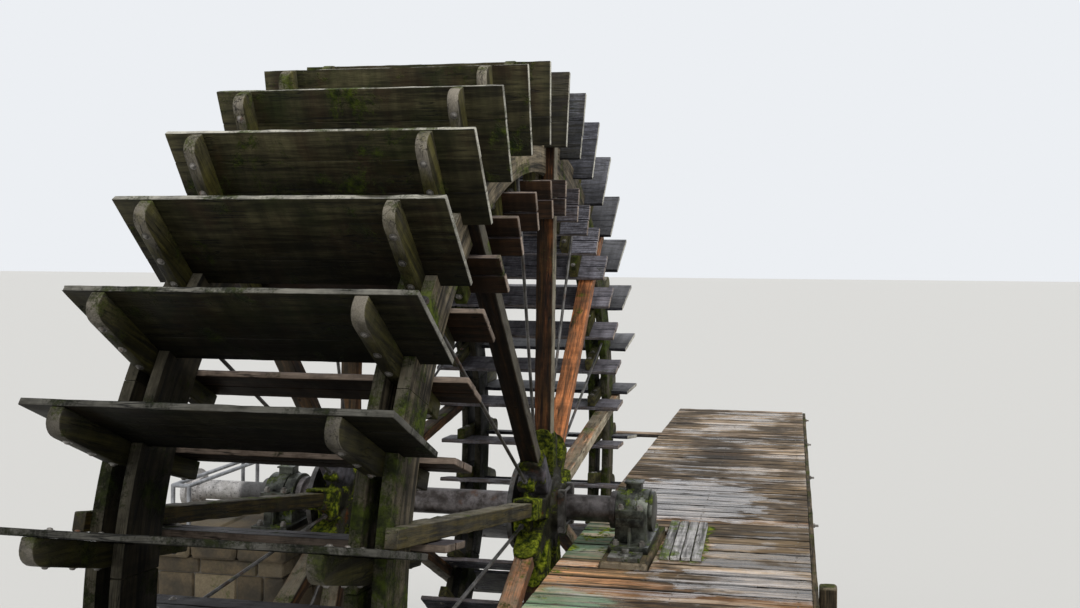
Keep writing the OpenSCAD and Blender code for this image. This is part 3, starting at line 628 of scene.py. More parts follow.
def iron(name, deep, body, shine, rust=(0.35, (92, 52, 24)), moss=None, metal=0.55, outward=None,
         paler=None, specks=0.0, bare=None, gloss=0.5, lift=0.003):
    """Old cast or rolled iron: mottled between two tones, rust in patches, and fine pits. `rust` is its
    share and colour, and `moss` its share, its deep and its light colour. `outward` is the stretch
    beside the axle that keeps moss back, `paler` a stretch of X and the brightness before and past it,
    `specks` the share of dark specks, and `bare` the Y, Z and radius of a greyer spot without moss."""
    f = Finish(name)
    spot = f.place()
    x, _, z = f.parts(spot)
    mottle = f.noise(spot, 9, 6, 0.65)
    pits = f.noise(spot, 130, 3, 0.6)
    rust_share, rust_colour = rust
    rusty = f.sway(f.noise(f.stretch(spot, (1, 1, 1), (5, 1, 3)), 5.5, 7, 0.7), pits, 0.12)
    rusty = f.step(rusty, 0.66 - 0.3 * rust_share, 0.76 - 0.26 * rust_share)
    base = f.mix(f.step(mottle, 0.35, 0.68), deep, body)
    base = f.mix(f.times(rusty, 0.85), base, rust_colour)
    base = f.dim(base, pits, 0.3, 0.7, 0.82, 1.15)
    if paler is not None:
        base = f.dim(base, x, *paler)
    if specks:
        base = f.mix(f.step(f.noise(spot, 44, 5, 0.8), 0.55, 0.61, 0.0, specks), base, SPECK)
    height = f.plus(f.times(pits, 0.4), f.times(mottle, 0.3))
    polish = f.step(mottle, 0.3, 0.7, 0.62 - 0.3 * shine, 0.72 - 0.3 * shine)
    rough = f.plus(f.times(rusty, 0.3), polish)
    if moss is None:
        return f.close(base, rough, height, lift, metal, gloss)
    moss_share, moss_deep, moss_light = moss
    clump = f.noise(spot, 60, 4, 0.7)
    patch = f.sway(f.noise(spot, 4.2, 6, 0.66), clump, 0.3)
    patch = f.plus(patch, f.times(f.facing()[2], 0.05))
    if outward is not None:
        patch = f.plus(patch, f.step(f.from_axle(spot), *outward, -0.14, 0.03))
    if bare is not None:
        bare_y, bare_z, radius = bare
        off = f.add("ShaderNodeVectorMath", {0: f.stretch(spot, (0, 1, 1)), 1: (0, bare_y, bare_z)}, out=1,
                    operation="DISTANCE")
        spared = f.step(off, 0.6 * radius, radius, 1.0, 0.0)
        patch = f.minus(patch, f.times(spared, 0.18))
        base = f.mix(f.times(spared, 0.7), base, f.mix(f.step(mottle, 0.35, 0.65), *BARE_IRON))
    share = f.step(patch, 0.68 - 0.36 * moss_share, 0.75 - 0.3 * moss_share)
    green = f.mix(f.step(f.noise(spot, 26, 6, 0.7), 0.38, 0.66), moss_deep, moss_light)
    # Painted shade in the moss's hollows: it darkens in patches.
    moss_hollow_shade = f.noise(f.stretch(spot, (1, 1, 1), (3, 3, 1)), 7, 5, 0.7)
    green = f.dim(green, moss_hollow_shade, 0.38, 0.6, 0.42, 1.15)
    if outward is not None:
        green = f.dim(green, z, AXLE_Z + 0.15, AXLE_Z + 0.5, 1.0, 0.5)
    base = f.mix(share, base, green)
    height = f.plus(height, f.times(share, f.plus(f.times(clump, 2.2), 0.6)))
    rough = f.plus(rough, f.times(share, 0.4), clamp=True)
    return f.close(base, rough, height, lift, metal, gloss)


def zone(f, x, y, where, soft, ragged=None):
    """A soft share of 1 inside a rectangle of X and Y, with a ragged outline where a noise is given."""
    x0, x1, y0, y1 = where
    wide = f.times(f.step(x, x0 - soft, x0 + soft), f.step(x, x1 - soft, x1 + soft, 1.0, 0.0))
    deep = f.times(f.step(y, y0 - soft, y0 + soft), f.step(y, y1 - soft, y1 + soft, 1.0, 0.0))
    share = f.times(wide, deep)
    if ragged is None:
        return share
    return f.step(f.sway(share, ragged, 1.8), 0.3, 0.8)


# Stretches of the deck, as X from and to, then Y from and to
GREEN_BY_BEARER = (2.5, 3.42, -0.36, 0.7)
GREEN_AT_END = (2.5, 3.6, -2.2, -1.02)
ORANGE = (2.0, 3.7, -1.0, -0.36)
SOAKED = (3.5, 4.25, 1.7, 5.2)
DAMP_BY_PANEL = (4.12, 5.1, -0.33, 0.85)
# Wet stretches, where the glossy film gathers and its painted sky reflection goes
WET_SHEEN_PAST_PANEL = (3.1, 4.5, 0.9, 2.5)
WET_SHEEN_AT_END = (3.75, 4.9, -1.15, -0.4)
MOSS_BY_BEARER = (2.8, 3.5, -0.2, 0.75)
MOSS_BY_WHEEL = (2.8, 3.1, -2.8, -0.3)


def deck_colour(f, x, y, x_off, y_off, x_board, patchy, streak, broad, cloud):
    """The boards' colour when dry: brown streaks, warmer boards, green and orange stretches,
    a darker near end and soaked stretch, bleached wood, and damp beside the cover panel."""
    base = f.mix(f.step(streak, 0.36, 0.64), (40, 30, 20), (134, 112, 82))
    warm = f.step(f.sway(f.value("tint"), broad, 2.2), 0.55, 1.15)
    base = f.mix(f.times(warm, 0.7), base, (142, 96, 50))
    green = f.larger(zone(f, x, y, GREEN_BY_BEARER, 0.15, patchy), zone(f, x, y, GREEN_AT_END, 0.3, patchy))
    grown = f.step(f.plus(patchy, f.times(streak, 0.9)), 0.7, 0.92, 0.1, 0.9)
    base = f.mix(f.times(green, grown), base, (112, 140, 112))
    rusty = f.step(f.sway(broad, streak, 1.2), 0.47, 0.58, 0.06, 0.85)
    base = f.mix(f.times(zone(f, x_board, y, ORANGE, 0.2), rusty), base, (216, 158, 112))
    base = f.dim(base, cloud, 0.36, 0.6, 0.5, 1.15)
    near_end = f.times(f.step(y, -0.75, -0.3, 1.0, 0.0), f.step(x, 3.5, 3.95, 0.2, -0.2))
    base = f.scale_colour(base, f.plus(near_end, 1.0))
    soaked = zone(f, x_off, y_off, SOAKED, 0.3)
    base = f.dim(base, soaked, 0.0, 1.0, 1.0, 0.5)
    bleached = f.times(f.step(f.sway(broad, cloud, 0.5), 0.5, 0.66), f.step(soaked, 0.0, 1.0, 0.8, 0.25))
    base = f.mix(bleached, base, (192, 172, 150))
    damp = zone(f, x_off, y_off, DAMP_BY_PANEL, 0.2, patchy)
    return f.mix(f.times(damp, 0.72), base, f.mix(f.step(streak, 0.36, 0.64), (52, 42, 28), (112, 94, 68)))


def deck_moss(f, spot, x, y, x_off, clump):
    """Share of moss: everywhere a little, more beside the wheel and round the panel and the bearer."""
    beside = f.larger(f.times(zone(f, x_off, y, MOSS_BY_BEARER, 0.1), 0.72),
                      f.times(zone(f, x_off, y, MOSS_BY_WHEEL, 0.08), 0.8))
    for node in ("cover_panel", "river_bearer"):
        lo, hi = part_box(node)
        around = (lo[0] - 0.04, hi[0] + 0.04, lo[1] - 0.04, hi[1] + 0.02)
        beside = f.larger(beside, zone(f, x, y, around, 0.07))
    moss = f.sway(f.plus(f.noise(spot, 5.5, 6, 0.7), f.times(beside, 0.24)), clump, 0.25)
    return f.step(moss, 0.71, 0.78)


def deck_boards(name):
    """Wet deck timber: streaks along X between near black and pale grey, orange-brown boards, green
    growth beside the wheel, moss round the bearing and the cover panel, dark soaked stretches, and a
    glossy wet film in long patches, with a painted pale sky reflection where it stands."""
    f = Finish(name)
    vector = f.value("grain", 1)
    spot = f.place()
    x, y, _ = f.parts(spot)
    streak = f.streaks(vector, (1.3, 30, 30), (0, 0, 0), 7, 0.7, 0.3)
    broad = f.streaks(vector, (0.8, 9, 9), (2, 9, 4), 5, 0.65)
    fibre = f.streaks(vector, (10, 210, 210), (0, 0, 0), 3, 0.6)
    cloud = f.noise(f.stretch(spot, (1.0, 0.8, 1), (1, 5, 0)), 1.1, 6, 0.62)
    crack = f.cracks(vector, f.streaks(vector, (0.8, 16, 16), (6, 3, 1), 4, 0.55, 0.5), 0.018, 2.1, 0.4)
    clump = f.noise(spot, 70, 3, 0.65)
    patchy = f.noise(f.stretch(spot, (1, 2.4, 1)), 2.6, 6, 0.68)
    shift = f.times(f.minus(patchy, 0.5), 1.4)
    x_off = f.plus(x, shift)
    y_off = f.plus(y, f.times(shift, 0.4))
    x_board = f.sway(x_off, f.value("tint"), 1.1)

    base = deck_colour(f, x, y, x_off, y_off, x_board, patchy, streak, broad, cloud)
    wet = f.larger(zone(f, x, y, WET_SHEEN_PAST_PANEL, 0.5, patchy),
                   f.times(zone(f, x_board, y, WET_SHEEN_AT_END, 0.25, patchy), 0.75))
    film = f.sway(f.streaks(vector, (0.7, 5, 5), (7, 2, 5), 5, 0.62, 0.3), cloud, 0.8)
    film = f.step(f.plus(film, f.times(wet, 0.24)), 0.5, 0.64)
    # Painted sky reflection: pale where the wet film stands in the wet stretches.
    painted_reflection = f.times(f.times(film, wet), f.step(streak, 0.44, 0.6, 0.0, 0.8))
    base = f.mix(f.times(painted_reflection, 0.85), base, (204, 200, 202))
    base = f.scale_colour(base, f.times(f.step(fibre, 0.25, 0.75, 0.75, 1.25), f.value("tone")))
    base = f.mix(f.times(f.value("edge"), 0.9), base, (26, 21, 16))
    base = f.mix(f.times(crack, 0.8), base, (20, 16, 12))
    moss = deck_moss(f, spot, x, y, x_off, clump)
    base = f.mix(moss, base, f.mix(f.step(f.noise(spot, 24, 4), 0.35, 0.65), (52, 66, 18), (122, 138, 38)))
    rough = f.plus(f.step(film, 0.0, 1.0, 0.62, 0.16), f.times(fibre, 0.1))
    rough = f.plus(rough, f.times(moss, 0.5), clamp=True)
    height = f.minus(f.plus(f.times(fibre, 0.3), f.times(streak, 0.5)), crack)
    height = f.plus(height, f.times(moss, f.plus(clump, 1.2)))
    return f.close(base, rough, height, 0.004, gloss=f.step(film, 0.0, 1.0, 0.2, 1.0))


def stone(name, deep, body, pale, moss_share):
    """Cut stone: three tones by the block and by noise, small pits, and moss towards the floor."""
    f = Finish(name)
    spot = f.place()
    grainy = f.noise(spot, 45, 5, 0.7)
    cloudy = f.noise(spot, 3.5, 6, 0.6)
    base = f.mix(f.step(cloudy, 0.35, 0.65), deep, body)
    base = f.mix(f.step(f.value("tint"), 0.45, 1.0), base, pale)
    base = f.scale_colour(base, f.times(f.step(grainy, 0.3, 0.7, 0.8, 1.18), f.value("tone")))
    low = f.step(f.parts(spot)[2], 0.3, 3.2, 0.12, 0.0)
    clump = f.noise(spot, 60, 3, 0.65)
    moss = f.sway(f.plus(f.noise(spot, 2.4, 7, 0.7), low), clump, 0.25)
    moss = f.step(moss, 0.72 - 0.2 * moss_share, 0.82 - 0.2 * moss_share)
    green = f.mix(f.step(clump, 0.35, 0.65), (38, 44, 18), (86, 96, 36))
    base = f.mix(f.times(moss, 0.85), base, green)
    height = f.plus(f.times(grainy, 0.8), f.times(cloudy, 0.8))
    height = f.plus(height, f.times(moss, clump))
    return f.close(base, f.step(cloudy, 0.3, 0.7, 0.7, 0.9), height, 0.006)


PADDLE_WOOD = timber("paddle_wood", (42, 39, 25), (94, 89, 63), (200, 197, 184),
                     (0.5, (24, 36, 6), (80, 94, 24)), stain=(38, 46, 19), wet=0.75, low=0.12, root=0.4,
                     slate=(116, 118, 132))
INNER_WOOD = timber("inner_board_wood", (20, 13, 8), (58, 40, 26), (150, 134, 120),
                    (0.2, (30, 34, 12), (70, 84, 28)), stain=(36, 25, 16), wet=0.8, low=0.6,
                    slate=(130, 131, 142), bleach_and_top_light=(112, 108, 114))
RIM_WOOD = timber("rim_wood", (34, 30, 22), (140, 128, 106), (152, 146, 126),
                  (0.9, (38, 50, 12), (98, 116, 30)), edge="round", grain="round", low=0.42, shade=0.5)
MILL_RIM_WOOD = timber("mill_rim_wood", (16, 14, 9), (62, 56, 42), (122, 116, 98),
                       (0.6, (24, 30, 8), (60, 72, 24)), edge="round", grain="round", low=0.6, shade=0.4)
KNEE_WOOD = timber("knee_wood", (26, 24, 9), (84, 80, 38), (152, 145, 133),
                   (0.6, (34, 40, 8), (80, 90, 30)), edge="nose", wet=0.6, low=0.4)
SPOKE_WOOD = timber("spoke_wood", (30, 18, 8), (98, 68, 38), (186, 178, 156),
                    (0.3, (48, 58, 20), (94, 108, 34)), tinted=(170, 104, 60), low=0.75)
PILE_WOOD = timber("pile_wood", (34, 28, 19), (106, 92, 70), (150, 138, 118),
                   (0.5, (30, 34, 12), (78, 88, 36)), stain=(44, 42, 28), wet=0.4)
PANEL_WOOD = timber("panel_wood", (62, 60, 58), (186, 184, 183), (200, 198, 196),
                    (0.55, (54, 66, 20), (104, 124, 36)), wet=0.8)
DECK_WOOD = deck_boards("deck_wood")
MOSSY_IRON = iron("mossy_cast_iron", (18, 18, 10), (48, 46, 36), 0.3,
                  moss=(0.72, (34, 50, 4), (146, 156, 40)), metal=0.0, outward=(0.12, 0.48),
                  bare=(-0.25, 4.07, 0.2), gloss=0.15, lift=0.014)
SHAFT_IRON = iron("wet_shaft_iron", (34, 29, 26), (86, 82, 82), 1.0, (0.25, (64, 46, 36)),
                  paler=(2.5, 2.8, 2.0, 1.0))
DRIVE_IRON = iron("grey_drive_iron", (128, 126, 124), (160, 158, 158), 0.5, (0.1, (50, 46, 36)), metal=0.1,
                  paler=(0.06, 0.14, 2.1, 0.28), specks=0.75)
GREY_IRON = iron("grey_iron", (48, 46, 43), (104, 102, 100), 0.7, (0.3, (86, 58, 38)),
                 (0.12, (40, 52, 14), (84, 92, 36)))
BEARING_IRON = iron("greasy_bearing_iron", (10, 10, 5), (90, 93, 84), 1.0, (0.25, (48, 40, 24)),
                    (0.32, (40, 52, 14), (116, 132, 36)))
ANCHOR_IRON = iron("anchor_plate_iron", (60, 60, 54), (132, 131, 126), 0.8, (0.3, (80, 58, 36)),
                   (0.34, (40, 52, 14), (104, 118, 34)))
BOLT_IRON = iron("bolt_iron", (90, 87, 82), (158, 154, 148), 0.6, (0.35, (112, 74, 48)))
TUBE_ZINC = iron("galvanised_tube", (132, 134, 138), (184, 186, 190), 0.8, (0.12, (120, 92, 70)))
PIER_STONE = stone("pier_stone", (56, 49, 36), (100, 87, 66), (120, 108, 86), 0.55)
MORTAR = stone("lime_mortar", (60, 56, 48), (96, 90, 80), (108, 102, 92), 0.5)


# Wheel

PADDLE_X0, PADDLE_X1 = (corner[0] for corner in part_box("outer_paddles_a"))


def paddle_frames(angles):
    """The tip's place, the way inwards and the way from the front to the back of leaning paddles."""
    out, onward = wheel_axes(angles)
    c, s = math.cos(PADDLE_LEAN), math.sin(PADDLE_LEAN)
    tip = AXLE + WHEEL_R * out + PADDLE_X0 * X_WAY
    return tip, -(out * c + onward * s), onward * c - out * s


def make_outer_paddles(part, letter):
    """Nine paddles of two or three boards; the seams lie a third and two thirds in."""
    rng = np.random.default_rng(SEED + part)
    index = np.arange(part, PADDLES, 4)
    tip, inward, back = paddle_frames(FIRST + PITCH * index)
    rows = []
    for i in range(len(index)):
        seams = [0, rng.uniform(0.3, 0.4), rng.uniform(0.64, 0.74), 1]
        if rng.random() < 0.7:
            seams.pop(1)
        last = len(seams) - 2
        for k in range(last + 1):
            start = seams[k] * PADDLE_DEPTH
            broad = seams[k + 1] * PADDLE_DEPTH - start
            rows.append((i, start, broad, k == 0, k == last, rng.uniform(0, 0.0015)))
    who, start, broad, at_tip, at_root, thinner = np.array(rows).T
    who = who.astype(int)
    size = columns(PADDLE_X1 - PADDLE_X0, broad, PADDLE_T - thinner)
    origin = tip[who] + inward[who] * start[:, None] + back[who] * thinner[:, None]
    ragged = columns(0, 0.008 * at_root, 0, 0.01 * at_tip)
    pale = columns(0, 0, 0.3, at_tip)
    piece = timbers("outer_paddle_boards_" + letter, origin, X_WAY, inward[who], back[who], size, rings=24,
                    rough=0.0018, ragged=ragged, short=0.004, arris=0.0035, pale=pale, seed=part, tone=0.14)
    settle(piece, "wheel", "paddle_timber", PADDLE_WOOD, "outer_paddles_" + letter)


def make_inner_paddles(part, letter):
    """Nine pairs of boards behind the knees' inner arms."""
    rng = np.random.default_rng(SEED + 40 + part)
    out, onward = wheel_axes(FIRST + SPOKE_LEAD + PITCH * np.arange(part, PADDLES, 4))
    out, onward = np.repeat(out, 2, 0), np.repeat(onward, 2, 0)
    count = len(out)
    low = np.tile([INNER_IN, INNER_IN + INNER_STEP], count // 2)
    drop = rng.uniform(0, 0.003, count)
    origin = AXLE + out * low[:, None] + onward * (INNER_FRONT + drop)[:, None] + PADDLE_X0 * X_WAY
    size = columns(PADDLE_X1 - PADDLE_X0, INNER_BOARD, INNER_T - drop)
    pale = np.tile([[0, 0, 0, 0.3], [0, 0.9, 0, 0]], (count // 2, 1))
    piece = timbers("inner_paddle_boards_" + letter, origin, X_WAY, out, onward, size, rings=18, wide=2,
                    rough=0.002, bow=0.0015, ragged=0.007, short=0.008, arris=0.005, pale=pale,
                    seed=50 + part, tone=0.18)
    settle(piece, "wheel", "inner_timber", INNER_WOOD, "inner_paddles_" + letter)


for part, letter in enumerate("abcd"):
    make_outer_paddles(part, letter)
    make_inner_paddles(part, letter)


def make_spokes(side, hub_x, tones, tints, pale):
    """Nine spokes; past the rim's inner edge the ply's thickness is cut out of each. `pale` is the
    paleness of the four sides, weathering together with painted light on the sides turned up and towards
    the lamp: towards the wheel's middle, onwards, outwards along the axle, backwards."""
    foot, end, width, thick, ply = 0.3, 3.0963, 0.145, 0.11, 0.07
    out, onward = wheel_axes(FIRST + SPOKE_LEAD + 360 / SPOKES * np.arange(SPOKES))
    toward = X_WAY if side == "river" else -X_WAY
    lap = RIM_IN - 0.002 - foot

    def halved(u, b):
        return np.where(u > lap, np.maximum(b, ply), b)

    origin = AXLE + hub_x * X_WAY + out * foot - onward * thick / 2 - toward * width / 2
    size = np.tile([end - foot, thick, width], (SPOKES, 1))
    piece = timbers(side + "_spoke_timbers", origin, out, onward, toward, size, rings=34, wide=1, narrow=1,
                    rough=0.002, ragged=0.008, arris=0.008, cut=halved, seed=80, tones=tones, tint=tints,
                    pale=pale, pale_ends=0.3)
    settle(piece, "wheel", "spoke_timber", SPOKE_WOOD, side + "_spokes")


RIVER_HUB_X, MILL_HUB_X = 2.785, 1.079
# Each spoke's sides are pale from weathering, and with painted light where they turn up and towards the
# lamp.
# From 11.2 degrees on: ochre, dark, brown, bright orange, pinkish, brown, brown, orange-brown, brown
SPOKE_PALE_AND_LIT = [[0, 0.9, 0.15, 0], [0, 0, 0.9, 0], [0, 0, 1, 0], [0, 0, 0.1, 0.05], [0, 0, 0.8, 0.3],
              [0, 0, 0.5, 0.2], [0, 0, 0.5, 0.2], [0, 0, 0.2, 0], [0, 0.4, 0.3, 0]]
make_spokes("river", RIVER_HUB_X, [0.5, 0.2, 0.48, 1.15, 1.2, 0.9, 0.85, 0.6, 0.85],
            [-0.5, 0.0, 0.36, 0.8, 0.45, 0.4, 0.3, 0.6, 0.85], SPOKE_PALE_AND_LIT)
make_spokes("mill", MILL_HUB_X, [0.42, 0.7, 0.8, 0.95, 0.9, 0.75, 0.7, 0.65, 0.7],
            [-0.35, 0.0, 0.1, 0.3, 0.2, 0.1, 0.1, 0.0, 0.0], [0, 0.6, 0, 0.1])


def grain_by_angle(mesh):
    """Gives each solid of a wheel piece its own grain: outwards, onwards and X from its own angle."""
    co = points_of(mesh)
    label = islands(mesh)[0]
    count = label.max() + 1
    middle = columns(*(np.bincount(label, part) for part in co.T)) / np.bincount(label)[:, None]
    angle = np.degrees(np.arctan2(middle[:, 2] - AXLE_Z, -middle[:, 1]))
    out, onward = wheel_axes(angle)
    rel = co - AXLE
    far, round_it = ((rel * way[label]).sum(1) for way in (out, onward))
    grain = columns(far + 9.1 * label, round_it + 4.3 * label, co[:, 0])
    tone = np.random.default_rng(SEED + count).uniform(0.8, 1.2, count)
    store(mesh, {"grain": grain, "tone": tone[label]})


for side, rim_wood in (("river", RIM_WOOD), ("mill", MILL_RIM_WOOD)):
    knees = eased(side + "_knees", side + "_knee_timbers", 0.009)
    grain_by_angle(knees.data)
    settle(knees, "wheel", "knee_timber", KNEE_WOOD, side + "_knees")
    for ply in ("outer", "inner"):
        node = side + "_rim_" + ply + "_ply"
        settle(eased(node, node + "_felloes", 0.006), "wheel", "rim_timber", rim_wood, node)


MOSS_LIFT = 0.005


def make_hub(side, voxel):
    """A cast rosette grown over with moss: the solid remeshed to a fine net, then moved along its
    normals by the product of two scales of smooth noise, rising from the hub's middle outwards."""
    mesh = clean_copy(side + "_hub")
    piece = add_object(side + "_hub_casting", mesh)
    net = piece.modifiers.new("net", "REMESH")
    net.mode = "VOXEL"
    net.voxel_size = voxel
    done = bpy.data.meshes.new_from_object(piece.evaluated_get(bpy.context.evaluated_depsgraph_get()))
    piece.modifiers.clear()
    piece.data = done
    bpy.data.meshes.remove(mesh)
    co = points_of(done)
    normal = np.empty(len(co) * 3)
    done.vertices.foreach_get("normal", normal)
    lumps = np.clip(ripple(co, 5, 0.16) + 0.35, 0, None) * (0.6 + 0.4 * ripple(co, 6, 0.035))
    outer = np.clip((np.hypot(co[:, 1], co[:, 2] - AXLE_Z) - 0.2) / 0.15, 0, 1)
    co = co + normal.reshape(-1, 3) * (lumps * outer * MOSS_LIFT)[:, None]
    done.vertices.foreach_set("co", co.ravel())
    smooth_faces(done)
    done.update()
    settle(piece, "wheel", "mossy_iron", MOSSY_IRON, side + "_hub")


make_hub("river", 0.011)
make_hub("mill", 0.016)

# Radius and height of a bolt's washer and domed head
HEAD = [(0.0, 0.0), (0.024, 0.0), (0.024, 0.003), (0.015, 0.0045), (0.0145, 0.009), (0.0095, 0.013),
        (0.0, 0.0145)]


def make_knee_bolts(side, rim_x):
    """Bolt heads on the knees' front edges and their washers on the backs of both paddles."""
    knee_bolts, inner_bolts, lower_in_front = (0.13, 0.32, 0.5), (2.46, 2.62), 0.03
    tip, inward, back = paddle_frames(FIRST + PITCH * np.arange(PADDLES))
    tip = tip + (rim_x - PADDLE_X0) * X_WAY
    places, ways = [], []
    for depth in knee_bolts:
        places.append(tip + inward * depth + back * (PADDLE_T - SINK))
        places.append(tip + inward * (depth + lower_in_front) - back * (KNEE_DEPTH - SINK))
        ways += [back, -back]
    out, onward = wheel_axes(FIRST + SPOKE_LEAD + PITCH * np.arange(PADDLES))
    for far in inner_bolts:
        middle = AXLE + rim_x * X_WAY + out * far
        places.append(middle + onward * (INNER_FRONT + INNER_T - SINK))
        places.append(middle + onward * (INNER_FRONT - INNER_ARM_DEPTH + SINK))
        ways += [onward, -onward]
    piece = turned(side + "_knee_bolt_heads", HEAD, np.concatenate(places), np.concatenate(ways))
    settle(piece, "wheel", "grey_iron", BOLT_IRON)


make_knee_bolts("river", 2.6725)
make_knee_bolts("mill", 1.1915)

dress("wheel_shaft", SHAFT_IRON)
dress("drive_shaft", DRIVE_IRON)
for node in ("river_shaft_flange", "mill_shaft_flange", "hub_clamps", "river_tie_rods", "mill_tie_rods"):
    dress(node, GREY_IRON)


# Bearings, pier and guard

for side in ("river", "mill"):
    for part in ("base", "cap"):
        node = side + "_bearing_" + part
        settle(eased(node, node + "_casting", 0.005), "root", "bearing_iron", BEARING_IRON, node)
    dress(side + "_bearing_bolts", BOLT_IRON)
plates = eased("anchor_plates", "anchor_plate_castings", 0.003)
settle(plates, "root", "grey_iron", ANCHOR_IRON, "anchor_plates")
dress("shaft_guard", TUBE_ZINC)

COPING_T = 0.14
COPING_CUTS = (0.43, 0.86, 1.27)
COPING_JOINT = 0.006
COPING_SHIFT = 0.004
PLINTH_TOP = 0.42
PLINTH_OUT = 0.03
STONE_JOINT = 0.008
STONE_DEPTH = 0.17
STONE_LENGTH = (0.26, 0.5)
LAST_STONE = 0.55
STONE_SHIFT = 0.06
FIRST_COURSE = 0.215
COURSE = (0.19, 0.29)
LAST_COURSE = 0.32


def course_levels(rng, top):
    """Heights of the courses' beds: two in the plinth, then random ones up to the coping."""
    levels = [0.0, FIRST_COURSE, PLINTH_TOP]
    while levels[-1] < top - LAST_COURSE:
        levels.append(levels[-1] + rng.uniform(*COURSE))
    return levels + [top]


def stone_edges(rng, start, end):
    """Where the stones of one course end on a face and on the face behind it, each shifted at random."""
    cuts = [start]
    while cuts[-1] < end - LAST_STONE:
        cuts.append(cuts[-1] + rng.uniform(*STONE_LENGTH))
    cuts.append(end)
    inside = np.arange(len(cuts)) % (len(cuts) - 1) > 0
    return [np.array(cuts) + rng.uniform(-STONE_SHIFT, STONE_SHIFT, len(cuts)) * inside for _ in range(2)]


def make_stones(lo, hi, top):
    """Courses of cut stone. Each course runs along X on two faces and fills in between on the other two,
    turn about, and its stones' lengths vary."""
    rng = np.random.default_rng(SEED + 7)
    levels = course_levels(rng, top)
    rows = [], []
    for i in range(len(levels) - 1):
        z0, z1 = levels[i] + (STONE_JOINT if i else 0), levels[i + 1]
        back = 0.0 if z0 < PLINTH_TOP else PLINTH_OUT
        low, high = lo + back, hi - [PLINTH_OUT, back, 0]
        for way in (0, 1):
            start, end = low[way], high[way]
            if (i + way) % 2:
                start, end = start + STONE_DEPTH + STONE_JOINT, end - STONE_DEPTH - STONE_JOINT
            faces = (low[1 - way], high[1 - way] - STONE_DEPTH)
            for face, edge in zip(faces, stone_edges(rng, start, end)):
                first = edge[:-1] + STONE_JOINT * (np.arange(len(edge) - 1) > 0)
                spot = (face, first) if way else (first, face)
                rows[way].append(columns(*spot, z0, edge[1:] - first, STONE_DEPTH, z1 - z0))
    for way, along, across in ((0, X_WAY, Y_WAY), (1, Y_WAY, X_WAY)):
        stones = np.concatenate(rows[way])
        piece = timbers("pier_stones_" + "xy"[way], stones[:, :3], along, across, Z_WAY, stones[:, 3:],
                        arris=0.012, rings=4, wide=1, narrow=1, rough=0.005, ragged=0.006, tone=0.14,
                        pale_ends=0, seed=101 - way)
        settle(piece, "root", "pier_stone", PIER_STONE, "mill_pier")


def make_core(lo, hi, top):
    """The mortar that shows in the joints: one upright block, a little behind the stones' faces."""
    behind_face = 0.02
    inset = PLINTH_OUT + behind_face
    size = [top, hi[0] - lo[0] - 2 * inset, hi[1] - lo[1] - 2 * inset]
    core = timbers("pier_core", [lo[0] + inset, lo[1] + inset, 0.0], Z_WAY, X_WAY, Y_WAY, [size], arris=0.01,
                   rings=6, seed=104)
    settle(core, "root", "pier_stone", MORTAR)


def make_coping(lo, hi, top):
    """Four slabs side by side, each as long as the pier is deep."""
    cuts = np.array([lo[0], *(lo[0] + cut for cut in COPING_CUTS), hi[0]])
    slab = columns(cuts[:-1] + COPING_SHIFT, lo[1], top)
    size = columns(hi[1] - lo[1], np.diff(cuts) - COPING_JOINT, COPING_T)
    coping = timbers("pier_coping_slabs", slab, Y_WAY, X_WAY, Z_WAY, size, arris=0.024, rings=8, narrow=1,
                     rough=0.004, ragged=0.008, tone=0.08, pale_ends=0, seed=105)
    settle(coping, "root", "pier_stone", PIER_STONE)


pier_lo, pier_hi = np.array(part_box("mill_pier"))
for make in (make_stones, make_core, make_coping):
    make(pier_lo, pier_hi, pier_hi[2] - COPING_T)


# Deck

def make_boxes(node, name, finish, slot, **how):
    """The boxes of a CAD node again as worn timbers, each a hair inside its box."""
    settle(timbers(name, *box_frames(node), **how), "root", slot, finish, node)


BEAM = {"arris": 0.012, "rings": 14, "wide": 2, "narrow": 2, "rough": 0.004, "ragged": 0.012,
        "pale_ends": 0.8}
LONG_BEAM = {**BEAM, "rings": 40}
BEAMS = {"wheel_side_pile_timbers": ("wheel_side_piles", BEAM),
         "river_side_pile_timbers": ("river_side_piles", BEAM),
         "bearing_pile_timbers": ("bearing_piles", BEAM),
         "river_bearer_timber": ("river_bearer", BEAM),
         "cap_beam_timbers": ("cap_beams", BEAM),
         "pile_brace_boards": ("pile_braces", BEAM),
         "deck_joist_timbers": ("deck_joists", LONG_BEAM),
         "edge_beam_board": ("edge_beam", {**LONG_BEAM, "arris": 0.006}),
         "fender_post_timber": ("fender_post", BEAM)}
for number, (name, (node, how)) in enumerate(BEAMS.items()):
    make_boxes(node, name, PILE_WOOD, "pile_timber", seed=201 + number, **how)
make_boxes("cover_panel", "cover_panel_boards", PANEL_WOOD, "deck_timber", arris=0.004, wide=2, ragged=0.006,
           short=0.02, seed=210)

DECK_ROWS = 51
DECK_GAP = 0.008
DECK_OVERHANG = 0.06
LONG_ROW = 39
ORANGE_ROWS = 9
NAIL_PLACES = (0.24, 0.72)
NAIL_DEPTH = 0.0065
NAIL = [(0.0, 0.0), (0.006, 0.0), (0.006, 0.004), (0.004, 0.0055), (0.0, 0.006)]


